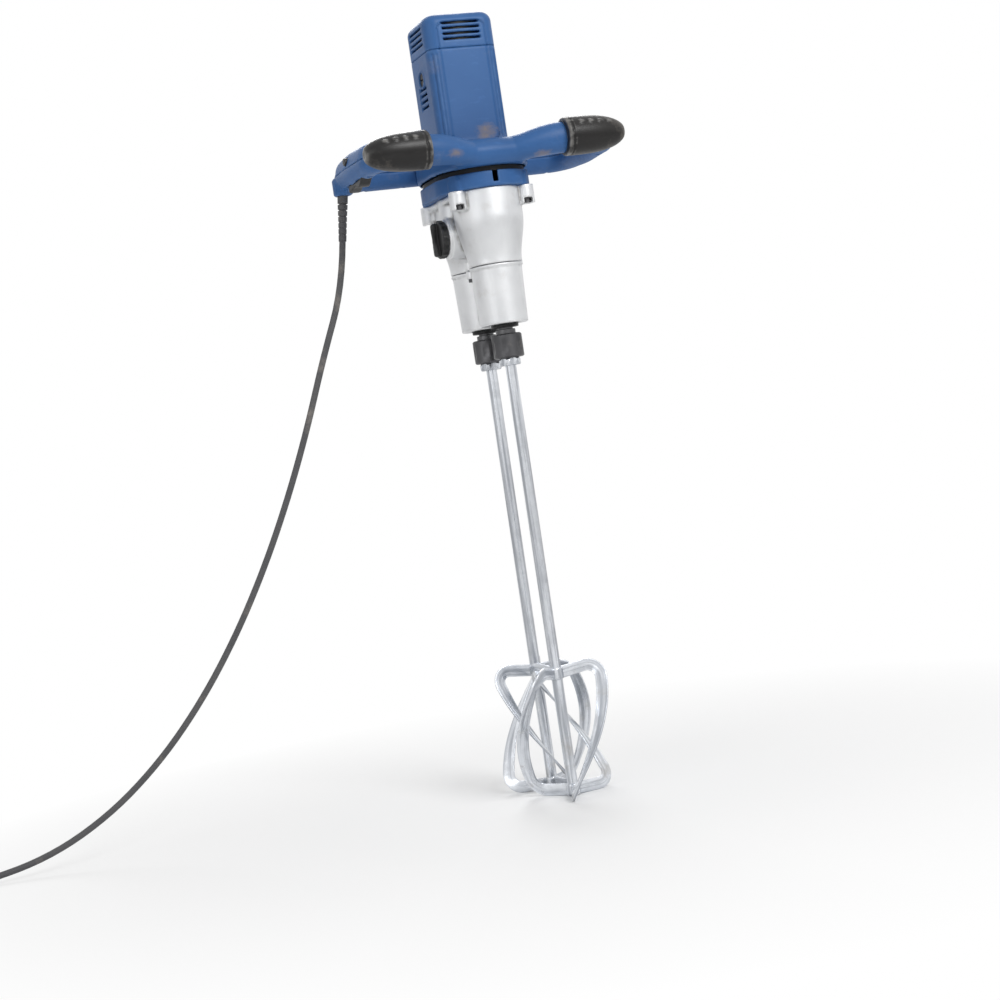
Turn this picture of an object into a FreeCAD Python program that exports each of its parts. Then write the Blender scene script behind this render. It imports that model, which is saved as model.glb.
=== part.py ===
import FreeCAD, Part
import math
import os

V = FreeCAD.Vector

# Heights of the stack from the paddle tips upwards, in millimetres
rod_length = 571.0
blade_top = 176.0
nut_height = 9.0
coupling_height = 31.0
coupling_travel = 8.0
neck_gap = 5.0
lower_case_height = 78.0
upper_case_height = 97.0
skirt_height = 20.0
plate_height = 6.0
body_height = 28.0
tower_height = 136.0
cap_height = 46.0
grip_rise = 24.0

# Twin spindles and paddles
rod_radius = 7.2
blade_reach = 66.0
blade_width = 16.0
blade_thick = 3.0
blade_count = 3
blade_twist = 100.0
blade_corner = 18.0
arm_rise = 5.0
hub_wall = 2.5
front_blade_phase = -12.0
rear_blade_phase = 62.0
stub_radius = 7.0
stub_length = 26.0
nut_across = 26.0
spindle_radius = 10.0
nose_radius = 13.0
nose_height = 38.0
coupling_radius = 20.0
coupling_chamfer = 1.5
flute_radius = 3.0

# Gears
spindle_module = 2.0
spindle_teeth = 39
drive_teeth = 14
input_module = 1.0
input_teeth = 52
motor_teeth = 12
gear_face = 12.0
gear_step = 3.0
backlash = 0.35
gear_addendum = 0.9
gear_dedendum = 1.15

# Cast gear case
gear_clearance = 1.5
lobe_foot_radius = 37.0
lower_lobe_radius = 35.0
lower_draft = 1.0
lobe_shoulder = 36.0
lobe_foot = 12.0
case_floor = 35.0
case_wall = 2.7
lug_x = 47.0
lug_y = 62.0
lug_radius = 11.0
lug_height = 24.0
boss_screw_radius = 5.0
screw_radius = 2.5
screw_hole = 2.6
foot_chamfer = 2.0
lower_web_half = 16.0
lower_web_rise = 8.0
upper_web_half = 18.0
joint_boss_x = 22.0
joint_boss_radius = 6.5
joint_boss_drop = 11.0
joint_boss_rise = 12.0
shaft_room = 3.0
knob_drop = 52.0
boss_radius = 27.0
boss_reach = 52.0
knob_radius = 25.0
knob_thick = 9.0
knob_wing = 7.0
selector_radius = 5.0

# Bearings and seals
bearing_outer = 21.0
bearing_width = 12.0
small_bearing_outer = 8.0
small_bearing_width = 8.0
counter_radius = 4.0
seal_outer = 19.0
seal_width = 7.0
seal_rise = 1.0
lower_bearing_rise = 15.0
bearing_cover = 4.0
lower_race_outer = 13.0
lower_race_width = 9.0
upper_race_outer = 11.0
upper_race_width = 7.0

# Moulded body and motor
body_round = 66.0
body_offset = 24.0
skirt_inset = 2.0
groove_inset = 6.0
wall = 4.0
saddle_end = 96.0
saddle_shoulder = 66.0
saddle_neck = 26.0
saddle_y = -86.0
saddle_dip = 8.0
rear_saddle_end = 50.0
rear_saddle_shoulder = 35.0
rear_saddle_neck = 18.0
rear_saddle_y = 62.0
rear_saddle_dip = 5.0
saddle_flare = 3.0
saddle_thinning = 5.0
foot_rim = 7.0
tower_half_width = 48.0
tower_half_depth = 47.0
tower_corner = 18.0
tower_flare = 9.0
motor_y = 8.0
motor_bore = 43.0
panel_half = 33.0
panel_depth = 1.5
panel_drop = 14.0
panel_corner = 9.0
shaft_radius = 5.0
core_radius = 24.0
core_height = 58.0
coil_end_height = 9.0
stator_radius = 40.0
stator_flat = 2.0
commutator_radius = 16.0
commutator_height = 20.0
fan_radius = 38.0
fan_height = 13.0
fan_gap = 4.0
plate_boss_height = 12.0
coil_gap = 12.0
brush_seat_depth = 4.0
fan_vanes = 11
brush_cap_radius = 9.0
brush_share = 0.25
vent_count = 4
vent_gap = 1.5
vent_pitch = 8.0
vent_slot = 3.5

# Loop handles, rubber corners and controls
grip_x = 158.0
loop_front = -104.0
loop_rear = 66.0
loop_corner = 34.0
bar_half_width = 17.0
bar_half_height = 20.0
bumper_inner = 92.0
bumper_cover = 1.0
bumper_radius = 25.0
bumper_straight = 30.0
bumper_taper = 24.0
bumper_round = 10.0
bumper_shoulder = 21.5
bumper_tip = 17.5
bumper_y = -108.0
nub_count = 3
nub_radius = 3.2
nub_pitch = 17.0
trigger_front = -46.0
trigger_rear = 20.0
trigger_half = 7.5
trigger_drop = 27.0
trigger_height = 19.0
pin_radius = 2.0
lock_radius = 5.0
lock_travel = 3.0
lock_length = 8.0
lock_y = -20.0

# Cord
cord_radius = 4.25
relief_radius = 7.0
relief_length = 60.0
relief_lean = 9.0
relief_x = -164.0
relief_y = 58.0
boss_round = 11.5
lead_sag = 300.0
lead_runs = 10
coil_x = -812.0
coil_y = 183.0
coil_pitch = 10.3
coil_layer = 9.6
coil_turns = 3.25
coil_outer = 68.0
lead_out = 64.0
tie_thick = 1.0
tie_half = 9.0
plug_length = 46.0
plug_radius = 17.5
contact_radius = 2.4
contact_length = 19.0
contact_pitch = 19.0

# Fits
running_fit = 0.06
loose_fit = 0.3
seat_gap = 0.02

# Stack of levels worked out from the heights
nose_foot = rod_length + nut_height
coupling_foot = nose_foot + 1.0
case_foot = coupling_foot + coupling_height + coupling_travel + neck_gap
parting = case_foot + lower_case_height
case_top = parting + upper_case_height
skirt_top = case_top + skirt_height
body_foot = skirt_top + plate_height
grip_height = body_foot + grip_rise
body_top = body_foot + body_height
tower_top = body_top + tower_height
cap_top = tower_top + cap_height
plate_boss = body_foot + plate_boss_height
fan_foot = plate_boss + fan_gap
core_foot = fan_foot + fan_height + coil_end_height + coil_gap
coil_top = core_foot + core_height + coil_end_height
brush_room = tower_top - coil_top - commutator_height / 2 - brush_cap_radius
brush_level = coil_top + commutator_height / 2 + brush_share * brush_room
commutator_foot = brush_level - commutator_height / 2
brush_seat = motor_bore - brush_seat_depth
vent_foot = brush_level - brush_cap_radius - vent_gap - vent_slot - (vent_count - 1) * vent_pitch
floor_level = case_top - case_floor
spindle_pitch = spindle_module * spindle_teeth
gear_tip = spindle_pitch / 2 + gear_addendum * spindle_module
lobe_top_radius = gear_tip + gear_clearance + case_wall
bumper_outer = grip_x + bar_half_width + bumper_cover
front_y = -spindle_pitch / 2
rear_y = spindle_pitch / 2

# Centres of the gear train
input_centres = input_module * (input_teeth + motor_teeth) / 2 + loose_fit / 2
drive_centres = spindle_module * (spindle_teeth + drive_teeth) / 2 + loose_fit / 2
span = motor_y - front_y
along = (drive_centres ** 2 - input_centres ** 2 + span ** 2) / (2 * span)
counter_y = front_y + along
counter_x = -math.sqrt(drive_centres ** 2 - along ** 2)


def export(name, shape):
    shape.translated(V(0, 0, -grip_height)).exportStep("parts/" + name + ".step")


def rod(radius, foot, top, x=0.0, y=0.0):
    return Part.makeCylinder(radius, top - foot, V(x, y, foot))


def ring(outer, inner, foot, top, x=0.0, y=0.0):
    return rod(outer, foot, top, x, y).cut(rod(inner, foot - 1, top + 1, x, y))


def bar_along_x(radius, start, end, y, z):
    return Part.makeCylinder(radius, end - start, V(start, y, z), V(1, 0, 0))


def block(x0, x1, y0, y1, z0, z1):
    return Part.makeBox(x1 - x0, y1 - y0, z1 - z0, V(x0, y0, z0))


def revolve(profile, x=0.0, y=0.0):
    points = [V(radius, 0, height) for radius, height in profile]
    face = Part.Face(Part.makePolygon(points + points[:1]))
    solid = face.revolve(V(0, 0, 0), V(0, 0, 1), 360)
    return solid.translated(V(x, y, 0))


def stadium(radius, offset, foot, top):
    tube = rod(radius, foot, top, 0, -offset)
    middle = block(-radius, radius, -offset, offset, foot, top)
    return tube.fuse([middle, rod(radius, foot, top, 0, offset)]).removeSplitter()


def rounded_block(half_x, half_y, corner, foot, top, y=0.0):
    solid = block(-half_x, half_x, y - half_y, y + half_y, foot, top)
    upright = [edge for edge in solid.Edges if abs(edge.tangentAt(edge.FirstParameter).z) > 0.9]
    return solid.makeFillet(corner, upright)


def gear(module, teeth, foot, top, bore, phase=0.0):
    pitch = module * teeth / 2
    tip = pitch + gear_addendum * module
    root = pitch - gear_dedendum * module
    half = math.pi / (2 * teeth) - backlash / (2 * pitch)
    slope = math.tan(math.radians(20)) / pitch
    points = []
    for tooth in range(teeth):
        centre = phase + 2 * math.pi * tooth / teeth
        for radius, side in ((root, -1), (tip, -1), (tip, 1), (root, 1)):
            angle = centre + side * (half - slope * (radius - pitch))
            points.append(V(radius * math.cos(angle), radius * math.sin(angle), foot))
    blank = Part.Face(Part.makePolygon(points + points[:1])).extrude(V(0, 0, top - foot))
    return blank.cut(rod(bore, foot - 1, top + 1))


# One mixing blade: a flat strip that leaves the rod, turns down and winds round it
def blade(hand, phase):
    middle = blade_reach - blade_width / 2
    high = blade_top - blade_width / 2
    low = blade_width / 2
    path = [(rod_radius - 0.5, high - arm_rise, 0.0), (middle - blade_corner, high, 0.0)]
    for step in range(1, 5):
        turn = math.radians(90 * step / 4)
        reach = middle - blade_corner + blade_corner * math.sin(turn)
        path.append((reach, high - blade_corner * (1 - math.cos(turn)), 90.0 * step / 4))
    drop = high - low - 2 * blade_corner
    for step in range(1, 8):
        path.append((middle, high - blade_corner - drop * step / 8, 90.0))
    for step in range(0, 5):
        turn = math.radians(90 * step / 4)
        reach = middle - blade_corner + blade_corner * math.cos(turn)
        path.append((reach, low + blade_corner * (1 - math.sin(turn)), 90.0 + 90.0 * step / 4))
    path.append((rod_radius - 0.5, low, 180.0))
    rings = []
    for reach, height, lean in path:
        share = min(1.0, max(0.0, (high - height) / (high - low)))
        angle = math.radians(phase) - hand * math.radians(blade_twist) * share
        outward = V(math.cos(angle), math.sin(angle), 0)
        across = V(-math.sin(angle), math.cos(angle), 0) * (blade_thick / 2)
        tilt = math.radians(lean)
        side = (outward * math.sin(tilt) + V(0, 0, math.cos(tilt))) * (blade_width / 2)
        centre = outward * reach + V(0, 0, height)
        corners = [centre + side + across, centre - side + across]
        corners += [centre - side - across, centre + side - across]
        rings.append(corners + corners[:1])
    faces = [Part.Face(Part.makePolygon(rings[0])), Part.Face(Part.makePolygon(rings[-1]))]
    for here, beyond in zip(rings, rings[1:]):
        for corner in range(4):
            near = Part.LineSegment(here[corner], here[corner + 1]).toShape()
            far = Part.LineSegment(beyond[corner], beyond[corner + 1]).toShape()
            faces.append(Part.makeRuledSurface(near, far))
    shell = Part.Shell(faces)
    shell.sewShape()
    solid = Part.Solid(shell)
    if solid.Volume < 0:
        solid.reverse()
    return solid


def paddle_blades(hand, phase, y):
    hub_top = blade_top - arm_rise
    hub = ring(rod_radius + hub_wall, rod_radius, hub_top - blade_width - 1, hub_top)
    foot_hub = ring(rod_radius + hub_wall, rod_radius, 0, blade_width + 1)
    core = rod(rod_radius, -1, blade_top + 1)
    strips = [blade(hand, phase + 360.0 * index / blade_count) for index in range(blade_count)]
    return hub.fuse(strips + [foot_hub]).cut(core).translated(V(0, y, 0))


def hexagon(across, foot, top, y):
    corner = across / math.sqrt(3)
    points = []
    for index in range(7):
        angle = math.radians(60 * index)
        points.append(V(corner * math.cos(angle), y + corner * math.sin(angle), foot))
    return Part.Face(Part.makePolygon(points)).extrude(V(0, 0, top - foot))


# Output shafts, their couplings and the screwed-in paddles
def make_output(name, y, hand, phase, gear_top):
    tip = 1.0
    stem = revolve([(0, 0), (rod_radius - tip, 0), (rod_radius, tip), (rod_radius, rod_length),
                    (stub_radius, rod_length), (stub_radius, nose_foot + stub_length),
                    (0, nose_foot + stub_length)], 0, y)
    export(name + "_paddle_rod", stem)
    export(name + "_paddle_blades", paddle_blades(hand, phase, y))
    nut = hexagon(nut_across, rod_length, nose_foot, y)
    nut = nut.cut(rod(stub_radius + seat_gap, rod_length - 1, nose_foot + 1, 0, y))
    export(name + "_lock_nut", nut)
    spindle = revolve([(0, nose_foot), (nose_radius, nose_foot), (nose_radius, nose_foot + nose_height),
                       (spindle_radius, nose_foot + nose_height), (spindle_radius, case_top - 1),
                       (0, case_top - 1)], 0, y)
    socket = rod(stub_radius + seat_gap, nose_foot - 1, nose_foot + stub_length + seat_gap, 0, y)
    export(name + "_spindle", spindle.cut(socket))
    coupling_top = coupling_foot + coupling_height
    lip = coupling_radius - coupling_chamfer
    bore = nose_radius + running_fit
    sleeve = revolve([(bore, coupling_foot), (lip, coupling_foot),
                      (coupling_radius, coupling_foot + coupling_chamfer),
                      (coupling_radius, coupling_top - coupling_chamfer),
                      (lip, coupling_top), (bore, coupling_top)], 0, y)
    flutes = []
    for index in range(6):
        angle = math.radians(60 * index + 30)
        reach = coupling_radius + flute_radius / 2
        flutes.append(rod(flute_radius, coupling_foot + 7, coupling_top - 6,
                          reach * math.cos(angle), y + reach * math.sin(angle)))
    export(name + "_coupling", sleeve.cut(flutes))
    half_tooth = math.pi / spindle_teeth
    turn = math.pi / 2 if y < 0 else -math.pi / 2 + half_tooth
    wheel = gear(spindle_module, spindle_teeth, gear_foot, gear_top, spindle_radius, turn)
    export(name + "_gear", wheel.translated(V(0, y, 0)))


gear_foot = floor_level + 5
rear_gear_top = gear_foot + gear_face
drive_foot = rear_gear_top + gear_step
drive_top = drive_foot + gear_face
input_foot = case_top + 4
input_top = input_foot + gear_face
counter_foot = floor_level - small_bearing_width + 0.5
counter_top = plate_boss - 1


def spindle_bearings():
    levels = (floor_level - bearing_cover - bearing_width, case_foot + lower_bearing_rise)
    rings = []
    for y in (front_y, rear_y):
        for foot in levels:
            rings.append(ring(bearing_outer, spindle_radius + running_fit, foot, foot + bearing_width, 0, y))
    return Part.makeCompound(rings)


def shaft_seals():
    inner = spindle_radius + running_fit
    foot = case_foot + seal_rise
    rings = [ring(seal_outer, inner, foot, foot + seal_width, 0, y) for y in (front_y, rear_y)]
    return Part.makeCompound(rings)


def lower_case():
    height = parting - case_foot
    lobes = []
    for y in (front_y, rear_y):
        lobes.append(revolve([(0, case_foot), (lower_lobe_radius - lower_draft - foot_chamfer, case_foot),
                              (lower_lobe_radius - lower_draft, case_foot + foot_chamfer),
                              (lower_lobe_radius, case_foot + height), (0, case_foot + height)], 0, y))
    web = block(-lower_web_half, lower_web_half, front_y, rear_y, case_foot + lower_web_rise, parting)
    joint_foot = parting - joint_boss_drop
    bosses = [rod(joint_boss_radius, joint_foot, parting, x, 0) for x in (-joint_boss_x, joint_boss_x)]
    solid = lobes[0].fuse([lobes[1], web] + bosses)
    holes = [rod(screw_hole, joint_foot - 1, parting + 1, x, 0) for x in (-joint_boss_x, joint_boss_x)]
    for y in (front_y, rear_y):
        holes.append(rod(spindle_radius + shaft_room, case_foot - 1, parting + 1, 0, y))
        holes.append(rod(seal_outer + seat_gap, case_foot - 1, case_foot + seal_rise + seal_width, 0, y))
        seat = case_foot + lower_bearing_rise
        holes.append(rod(bearing_outer + seat_gap, seat, parting + 1, 0, y))
    return solid.cut(holes)


def upper_case():
    lobes = []
    for y in (front_y, rear_y):
        lobes.append(revolve([(0, parting), (lobe_foot_radius, parting),
                              (lobe_foot_radius, parting + lobe_foot),
                              (lobe_top_radius, case_top - lobe_shoulder), (lobe_top_radius, case_top),
                              (0, case_top)], 0, y))
    web = block(-upper_web_half, upper_web_half, front_y, rear_y, parting, case_top)
    knob_z = case_top - knob_drop
    boss = bar_along_x(boss_radius, -boss_reach, -6, 0, knob_z)
    swell = rod(drive_reach + case_wall + 1, knob_z, case_top, counter_x, counter_y)
    lugs = []
    for x in (-lug_x, lug_x):
        for y in (-lug_y, lug_y):
            lugs.append(rod(lug_radius, case_top - lug_height, case_top, x, y))
            inner_x = 20 if x > 0 else -20
            low_x, high_x = min(x, inner_x), max(x, inner_x)
            low_y, high_y = (y, y + 14) if y < 0 else (y - 14, y)
            lugs.append(block(low_x, high_x, low_y, high_y, case_top - lug_height + 4, case_top))
    joint_top = parting + joint_boss_rise
    bosses = [rod(joint_boss_radius, parting, joint_top, x, 0) for x in (-joint_boss_x, joint_boss_x)]
    solid = lobes[0].fuse([lobes[1], web, boss, swell] + lugs + bosses)
    chamber = lobe_top_radius - case_wall
    holes = [rod(drive_reach + loose_fit, drive_foot - 2, case_top + 1, counter_x, counter_y)]
    holes.append(rod(counter_radius + 1, counter_foot, case_top, counter_x, counter_y))
    holes.append(rod(small_bearing_outer + seat_gap, floor_level - small_bearing_width, floor_level + 0.5,
                     counter_x, counter_y))
    holes.append(bar_along_x(selector_radius + running_fit, -boss_reach - 1, -14, 0, knob_z))
    for y in (front_y, rear_y):
        holes.append(rod(chamber, floor_level, case_top + 1, 0, y))
        holes.append(rod(spindle_radius + shaft_room, parting - 1, case_top, 0, y))
        seat = floor_level - bearing_cover - bearing_width
        holes.append(rod(bearing_outer + seat_gap, seat, floor_level + 1, 0, y))
    for x in (-lug_x, lug_x):
        for y in (-lug_y, lug_y):
            lug_foot = case_top - lug_height
            holes.append(rod(screw_hole, lug_foot - 1, case_top + 1, x, y))
            holes.append(rod(boss_screw_radius + 0.6, lug_foot - 1, lug_foot + 6, x, y))
    holes += [rod(screw_hole, parting - 1, joint_top - 3, x, 0) for x in (-joint_boss_x, joint_boss_x)]
    return solid.cut(holes)


def case_screws():
    screws = []
    for x in (-lug_x, lug_x):
        for y in (-lug_y, lug_y):
            seat = case_top - lug_height + 6
            head = rod(boss_screw_radius, seat - 5, seat, x, y)
            screws.append(head.fuse(rod(screw_radius, seat, skirt_top - 4, x, y)))
    joint_foot = parting - joint_boss_drop
    for x in (-joint_boss_x, joint_boss_x):
        head = rod(screw_radius + 2, joint_foot - 4, joint_foot, x, 0)
        screws.append(head.fuse(rod(screw_radius, joint_foot, parting + joint_boss_rise - 4, x, 0)))
    return Part.makeCompound(screws)


# Blue skirt that carries the first reduction above the gear case
def skirt():
    outer = stadium(body_round - skirt_inset, body_offset, case_top, skirt_top)
    cavity = stadium(body_round - skirt_inset - wall, body_offset, case_top + 3, skirt_top + 1)
    posts = []
    holes = []
    for x in (-lug_x, lug_x):
        for y in (-lug_y, lug_y):
            posts.append(rod(7.5, case_top, skirt_top, x, y).common(outer))
            holes.append(rod(screw_hole, case_top - 1, skirt_top - 3, x, y))
    chamber = lobe_top_radius - case_wall
    for y in (front_y, rear_y):
        holes.append(rod(chamber - 2, case_top - 1, case_top + 4, 0, y))
    holes.append(rod(drive_reach + loose_fit, case_top - 1, case_top + 4, counter_x, counter_y))
    holes.append(block(counter_x, 14, -14, 14, case_top - 1, case_top + 4))
    notch_y = -(body_round - skirt_inset + body_offset)
    notch = block(-4, 4, notch_y - 1, notch_y + 1.6, case_top + 4, skirt_top + 1)
    shell = outer.cut(cavity).fuse(posts)
    return shell.cut(holes + [notch])


def bearing_plate():
    plate = stadium(body_round - groove_inset, body_offset, skirt_top, body_foot)
    towers = [rod(lower_race_outer + wall, body_foot, plate_boss, 0, motor_y)]
    towers.append(rod(small_bearing_outer + wall, body_foot, plate_boss, counter_x, counter_y))
    plate = plate.fuse(towers)
    holes = [rod(lower_race_outer + seat_gap, body_foot, plate_boss + 1, 0, motor_y)]
    holes.append(rod(9, skirt_top - 1, body_foot + 1, 0, motor_y))
    holes.append(rod(counter_radius + 1, skirt_top - 1, plate_boss + 1, counter_x, counter_y))
    holes.append(rod(small_bearing_outer + seat_gap, body_foot, plate_boss + 1, counter_x, counter_y))
    return plate.cut(holes)


drive_reach = spindle_module * drive_teeth / 2 + spindle_module


# Moulded motor housing: a rounded foot with a front crossbar and a tall motor tower
def oval(half_width, half_height, centre):
    if half_height >= half_width:
        edge = Part.Ellipse(V(0, 0, 0), half_height, half_width).toShape()
    else:
        edge = Part.Ellipse(V(0, 0, 0), half_width, half_height).toShape(-math.pi / 2, 1.5 * math.pi)
        edge.rotate(V(0, 0, 0), V(0, 0, 1), 90)
    wire = Part.Wire(edge)
    wire.rotate(V(0, 0, 0), V(0, 1, 0), 90)
    wire.translate(centre)
    return wire


def foot_block():
    foot = stadium(body_round, body_offset, body_foot, body_top)
    rims = [edge for edge in foot.Edges if edge.BoundBox.ZMin > body_top - 0.01]
    return foot.makeFillet(foot_rim, rims)


def stem():
    tower = rounded_block(tower_half_width, tower_half_depth, tower_corner, body_foot + 10, tower_top,
                          motor_y)
    solid = foot_block().fuse(tower)
    join = []
    for edge in solid.Edges:
        box = edge.BoundBox
        level = abs(box.ZMin - body_top) < 0.01 and abs(box.ZMax - body_top) < 0.01
        beside = abs(box.Center.x) < tower_half_width + 1
        if level and beside and abs(box.Center.y - motor_y) < tower_half_depth + 1:
            join.append(edge)
    return solid.makeFillet(tower_flare, join)


# A bar across the body that dips and flattens towards its neck and meets the loops at its ends
def saddle(loop_y, neck_y, end, shoulder, neck, dip):
    sections = []
    for x in (-end, -shoulder, -neck, neck, shoulder, end):
        share = ((end - abs(x)) / (end - neck)) ** 2
        centre = V(x, loop_y + (neck_y - loop_y) * share, grip_height - dip * share)
        half_width = bar_half_width + saddle_flare * share
        half_height = bar_half_height - saddle_thinning * share
        sections.append(oval(half_width, half_height, centre))
    return Part.makeLoft(sections, True, False)


def front_saddle():
    return saddle(loop_front, saddle_y, saddle_end, saddle_shoulder, saddle_neck, saddle_dip)


def rear_saddle():
    return saddle(loop_rear, rear_saddle_y, rear_saddle_end, rear_saddle_shoulder, rear_saddle_neck,
                  rear_saddle_dip)


def motor_housing():
    shell = stem().fuse([front_saddle(), rear_saddle()])
    cavity = stadium(body_round - wall, body_offset, body_foot - 1, body_top - wall)
    bore = rod(motor_bore, body_foot, tower_top + 1, 0, motor_y)
    front = motor_y - tower_half_depth
    panel = block(-panel_half, panel_half, front - 1, front + panel_depth, body_top + panel_drop,
                  tower_top - panel_drop)
    corners = [edge for edge in panel.Edges if abs(edge.tangentAt(edge.FirstParameter).y) > 0.9]
    panel = panel.makeFillet(panel_corner, corners)
    grooves = []
    for x in (-panel_half - 6, panel_half + 6):
        grooves.append(block(x - 1.2, x + 1.2, front - 1, front + 8, body_top + panel_drop, tower_top - 6))
    tap = brush_cap_radius + loose_fit
    outer = tower_half_width + 1
    taps = [bar_along_x(tap, -outer, -brush_seat, motor_y, brush_level)]
    taps.append(bar_along_x(tap, brush_seat, outer, motor_y, brush_level))
    vents = []
    for index in range(vent_count):
        z = vent_foot + vent_pitch * index
        for x0, x1 in ((-outer, -motor_bore + 6), (motor_bore - 6, outer)):
            vents.append(block(x0, x1, motor_y - 15, motor_y + 15, z, z + vent_slot))
    return shell.cut([cavity, bore, panel] + grooves + taps + vents)


def motor_cap():
    dome = rounded_block(tower_half_width, tower_half_depth, tower_corner, tower_top, cap_top, motor_y)
    rim = [edge for edge in dome.Edges if edge.BoundBox.ZMin > cap_top - 0.01]
    dome = dome.makeFillet(9.0, rim)
    cavity = rod(motor_bore, tower_top - 1, cap_top - wall, 0, motor_y)
    seat_top = cap_top - wall + 1
    seat = ring(upper_race_outer + 3, upper_race_outer + seat_gap, cap_bearing, seat_top, 0, motor_y)
    slots = []
    for index in range(4):
        z = tower_top + 10 + 7 * index
        wide = tower_half_width + 1
        deep = tower_half_depth + 1
        slots.append(block(-wide, wide, motor_y - 26, motor_y + 26, z, z + 3.2))
        slots.append(block(-26, 26, motor_y - deep, motor_y + deep, z, z + 3.2))
    keep = rod(17, tower_top + 4, cap_top, 0, motor_y)
    return dome.cut(cavity).cut([slot.cut(keep) for slot in slots]).fuse(seat)


cap_bearing = cap_top - wall - 18


def armature_shaft():
    journal = shaft_radius - 1
    return revolve([(0, input_foot - 1), (journal, input_foot - 1), (journal, input_top + 3),
                    (shaft_radius, input_top + 3), (shaft_radius, cap_bearing + 6),
                    (journal, cap_bearing + 6), (journal, cap_bearing + 15), (0, cap_bearing + 15)],
                   0, motor_y)


def armature_core():
    core = ring(core_radius, shaft_radius, core_foot, core_foot + core_height, 0, motor_y)
    slots = []
    for index in range(12):
        angle = math.radians(30 * index)
        slots.append(rod(3.0, core_foot - 1, core_foot + core_height + 1,
                         (core_radius - 2) * math.cos(angle), motor_y + (core_radius - 2) * math.sin(angle)))
    return core.cut(slots)


def commutator():
    top = commutator_foot + commutator_height
    return ring(commutator_radius, shaft_radius, commutator_foot, top, 0, motor_y)


def fan():
    disc = ring(fan_radius, shaft_radius, fan_foot, fan_foot + 2.5, 0, motor_y)
    hub = ring(shaft_radius + 5, shaft_radius, fan_foot, fan_foot + fan_height, 0, motor_y)
    vanes = []
    for index in range(fan_vanes):
        vane = block(shaft_radius + 7, fan_radius - 1, -1.0, 1.0, fan_foot + 2, fan_foot + fan_height)
        vane.rotate(V(0, 0, 0), V(0, 0, 1), 360.0 * index / fan_vanes)
        vanes.append(vane.translated(V(0, motor_y, 0)))
    return disc.fuse([hub] + vanes)


def stator():
    core = ring(stator_radius, core_radius + 1.0, core_foot, core_foot + core_height, 0, motor_y)
    flat = stator_radius - stator_flat
    top = core_foot + core_height
    flats = []
    for low, high in ((flat, stator_radius + 1), (-stator_radius - 1, -flat)):
        flats.append(block(-stator_radius, stator_radius, motor_y + low, motor_y + high,
                           core_foot - 1, top + 1))
    return core.cut(flats)


def stator_coils():
    rings = [ring(stator_radius - 3, core_radius + 4, core_foot - coil_end_height, core_foot, 0, motor_y)]
    top = core_foot + core_height
    rings.append(ring(stator_radius - 3, core_radius + 4, top, top + coil_end_height, 0, motor_y))
    return Part.makeCompound(rings)


def stator_ring():
    ring_foot = core_foot + 8
    outer = ring(motor_bore, stator_radius, ring_foot, ring_foot + 6, 0, motor_y)
    upper = outer.translated(V(0, 0, core_height - 22))
    return Part.makeCompound([outer, upper])


def brush_parts():
    z = brush_level
    inner = commutator_radius + 3
    outer = tower_half_width - 1
    holders = []
    brushes = []
    caps = []
    for side in (-1, 1):
        tube = bar_along_x(6.5, inner, brush_seat, motor_y, z)
        tube = tube.cut(block(inner - 1, motor_bore, motor_y - 4, motor_y + 4, z - 3, z + 3))
        brush = block(commutator_radius + 0.1, inner + 14, motor_y - 3.9, motor_y + 3.9, z - 2.9, z + 2.9)
        cap = bar_along_x(brush_cap_radius, brush_seat, outer, motor_y, z)
        cap = cap.cut(block(outer - 2, outer + 1, motor_y - 12, motor_y + 12, z - 1, z + 1))
        for group, shape in ((holders, tube), (brushes, brush), (caps, cap)):
            if side < 0:
                shape = shape.mirror(V(0, 0, 0), V(1, 0, 0))
            group.append(shape)
    return Part.makeCompound(holders), Part.makeCompound(brushes), Part.makeCompound(caps)


# Loop handles in two half shells each, with rubber corners
def loop_path():
    start = V(-grip_x + loop_corner, loop_front, grip_height)
    first = V(-grip_x, loop_front + loop_corner, grip_height)
    last = V(-grip_x, loop_rear - loop_corner, grip_height)
    turn = V(-grip_x + loop_corner, loop_rear, grip_height)
    end = V(-rear_saddle_end, loop_rear, grip_height)
    diagonal = loop_corner * (1 - math.sqrt(0.5))
    near = V(-grip_x + diagonal, loop_front + diagonal, grip_height)
    far = V(-grip_x + diagonal, loop_rear - diagonal, grip_height)
    edges = [Part.LineSegment(V(-saddle_end, loop_front, grip_height), start).toShape()]
    edges.append(Part.Arc(start, near, first).toShape())
    edges.append(Part.LineSegment(first, last).toShape())
    edges.append(Part.Arc(last, far, turn).toShape())
    edges.append(Part.LineSegment(turn, end).toShape())
    return Part.Wire(edges)


def loop_bar():
    path = loop_path()
    profile = oval(bar_half_width, bar_half_height, V(-saddle_end, loop_front, grip_height))
    return path.makePipeShell([profile], True, False)


def bumper_blank():
    profile = [(0, bumper_inner), (bumper_radius - 2, bumper_inner), (bumper_radius, bumper_inner + 3),
               (bumper_radius, bumper_inner + bumper_straight),
               (bumper_shoulder, bumper_outer - bumper_taper), (bumper_tip, bumper_outer - bumper_round),
               (bumper_tip - 0.4 * bumper_round, bumper_outer - 0.4 * bumper_round),
               (bumper_tip - bumper_round, bumper_outer), (0, bumper_outer)]
    solid = revolve(profile)
    solid.rotate(V(0, 0, 0), V(0, 1, 0), -90)
    return solid.translated(V(0, bumper_y, grip_height))


def bumper(bar):
    solid = bumper_blank()
    lean = math.radians(50)
    nubs = []
    for index in range(nub_count):
        x = -bumper_inner - 26 - nub_pitch * index
        radius = bumper_radius - 1.2 - 1.7 * index
        y = bumper_y - radius * math.cos(lean)
        nubs.append(Part.makeSphere(nub_radius, V(x, y, grip_height + radius * math.sin(lean))))
    return solid.fuse(nubs).cut([bar, front_saddle()])


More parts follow.
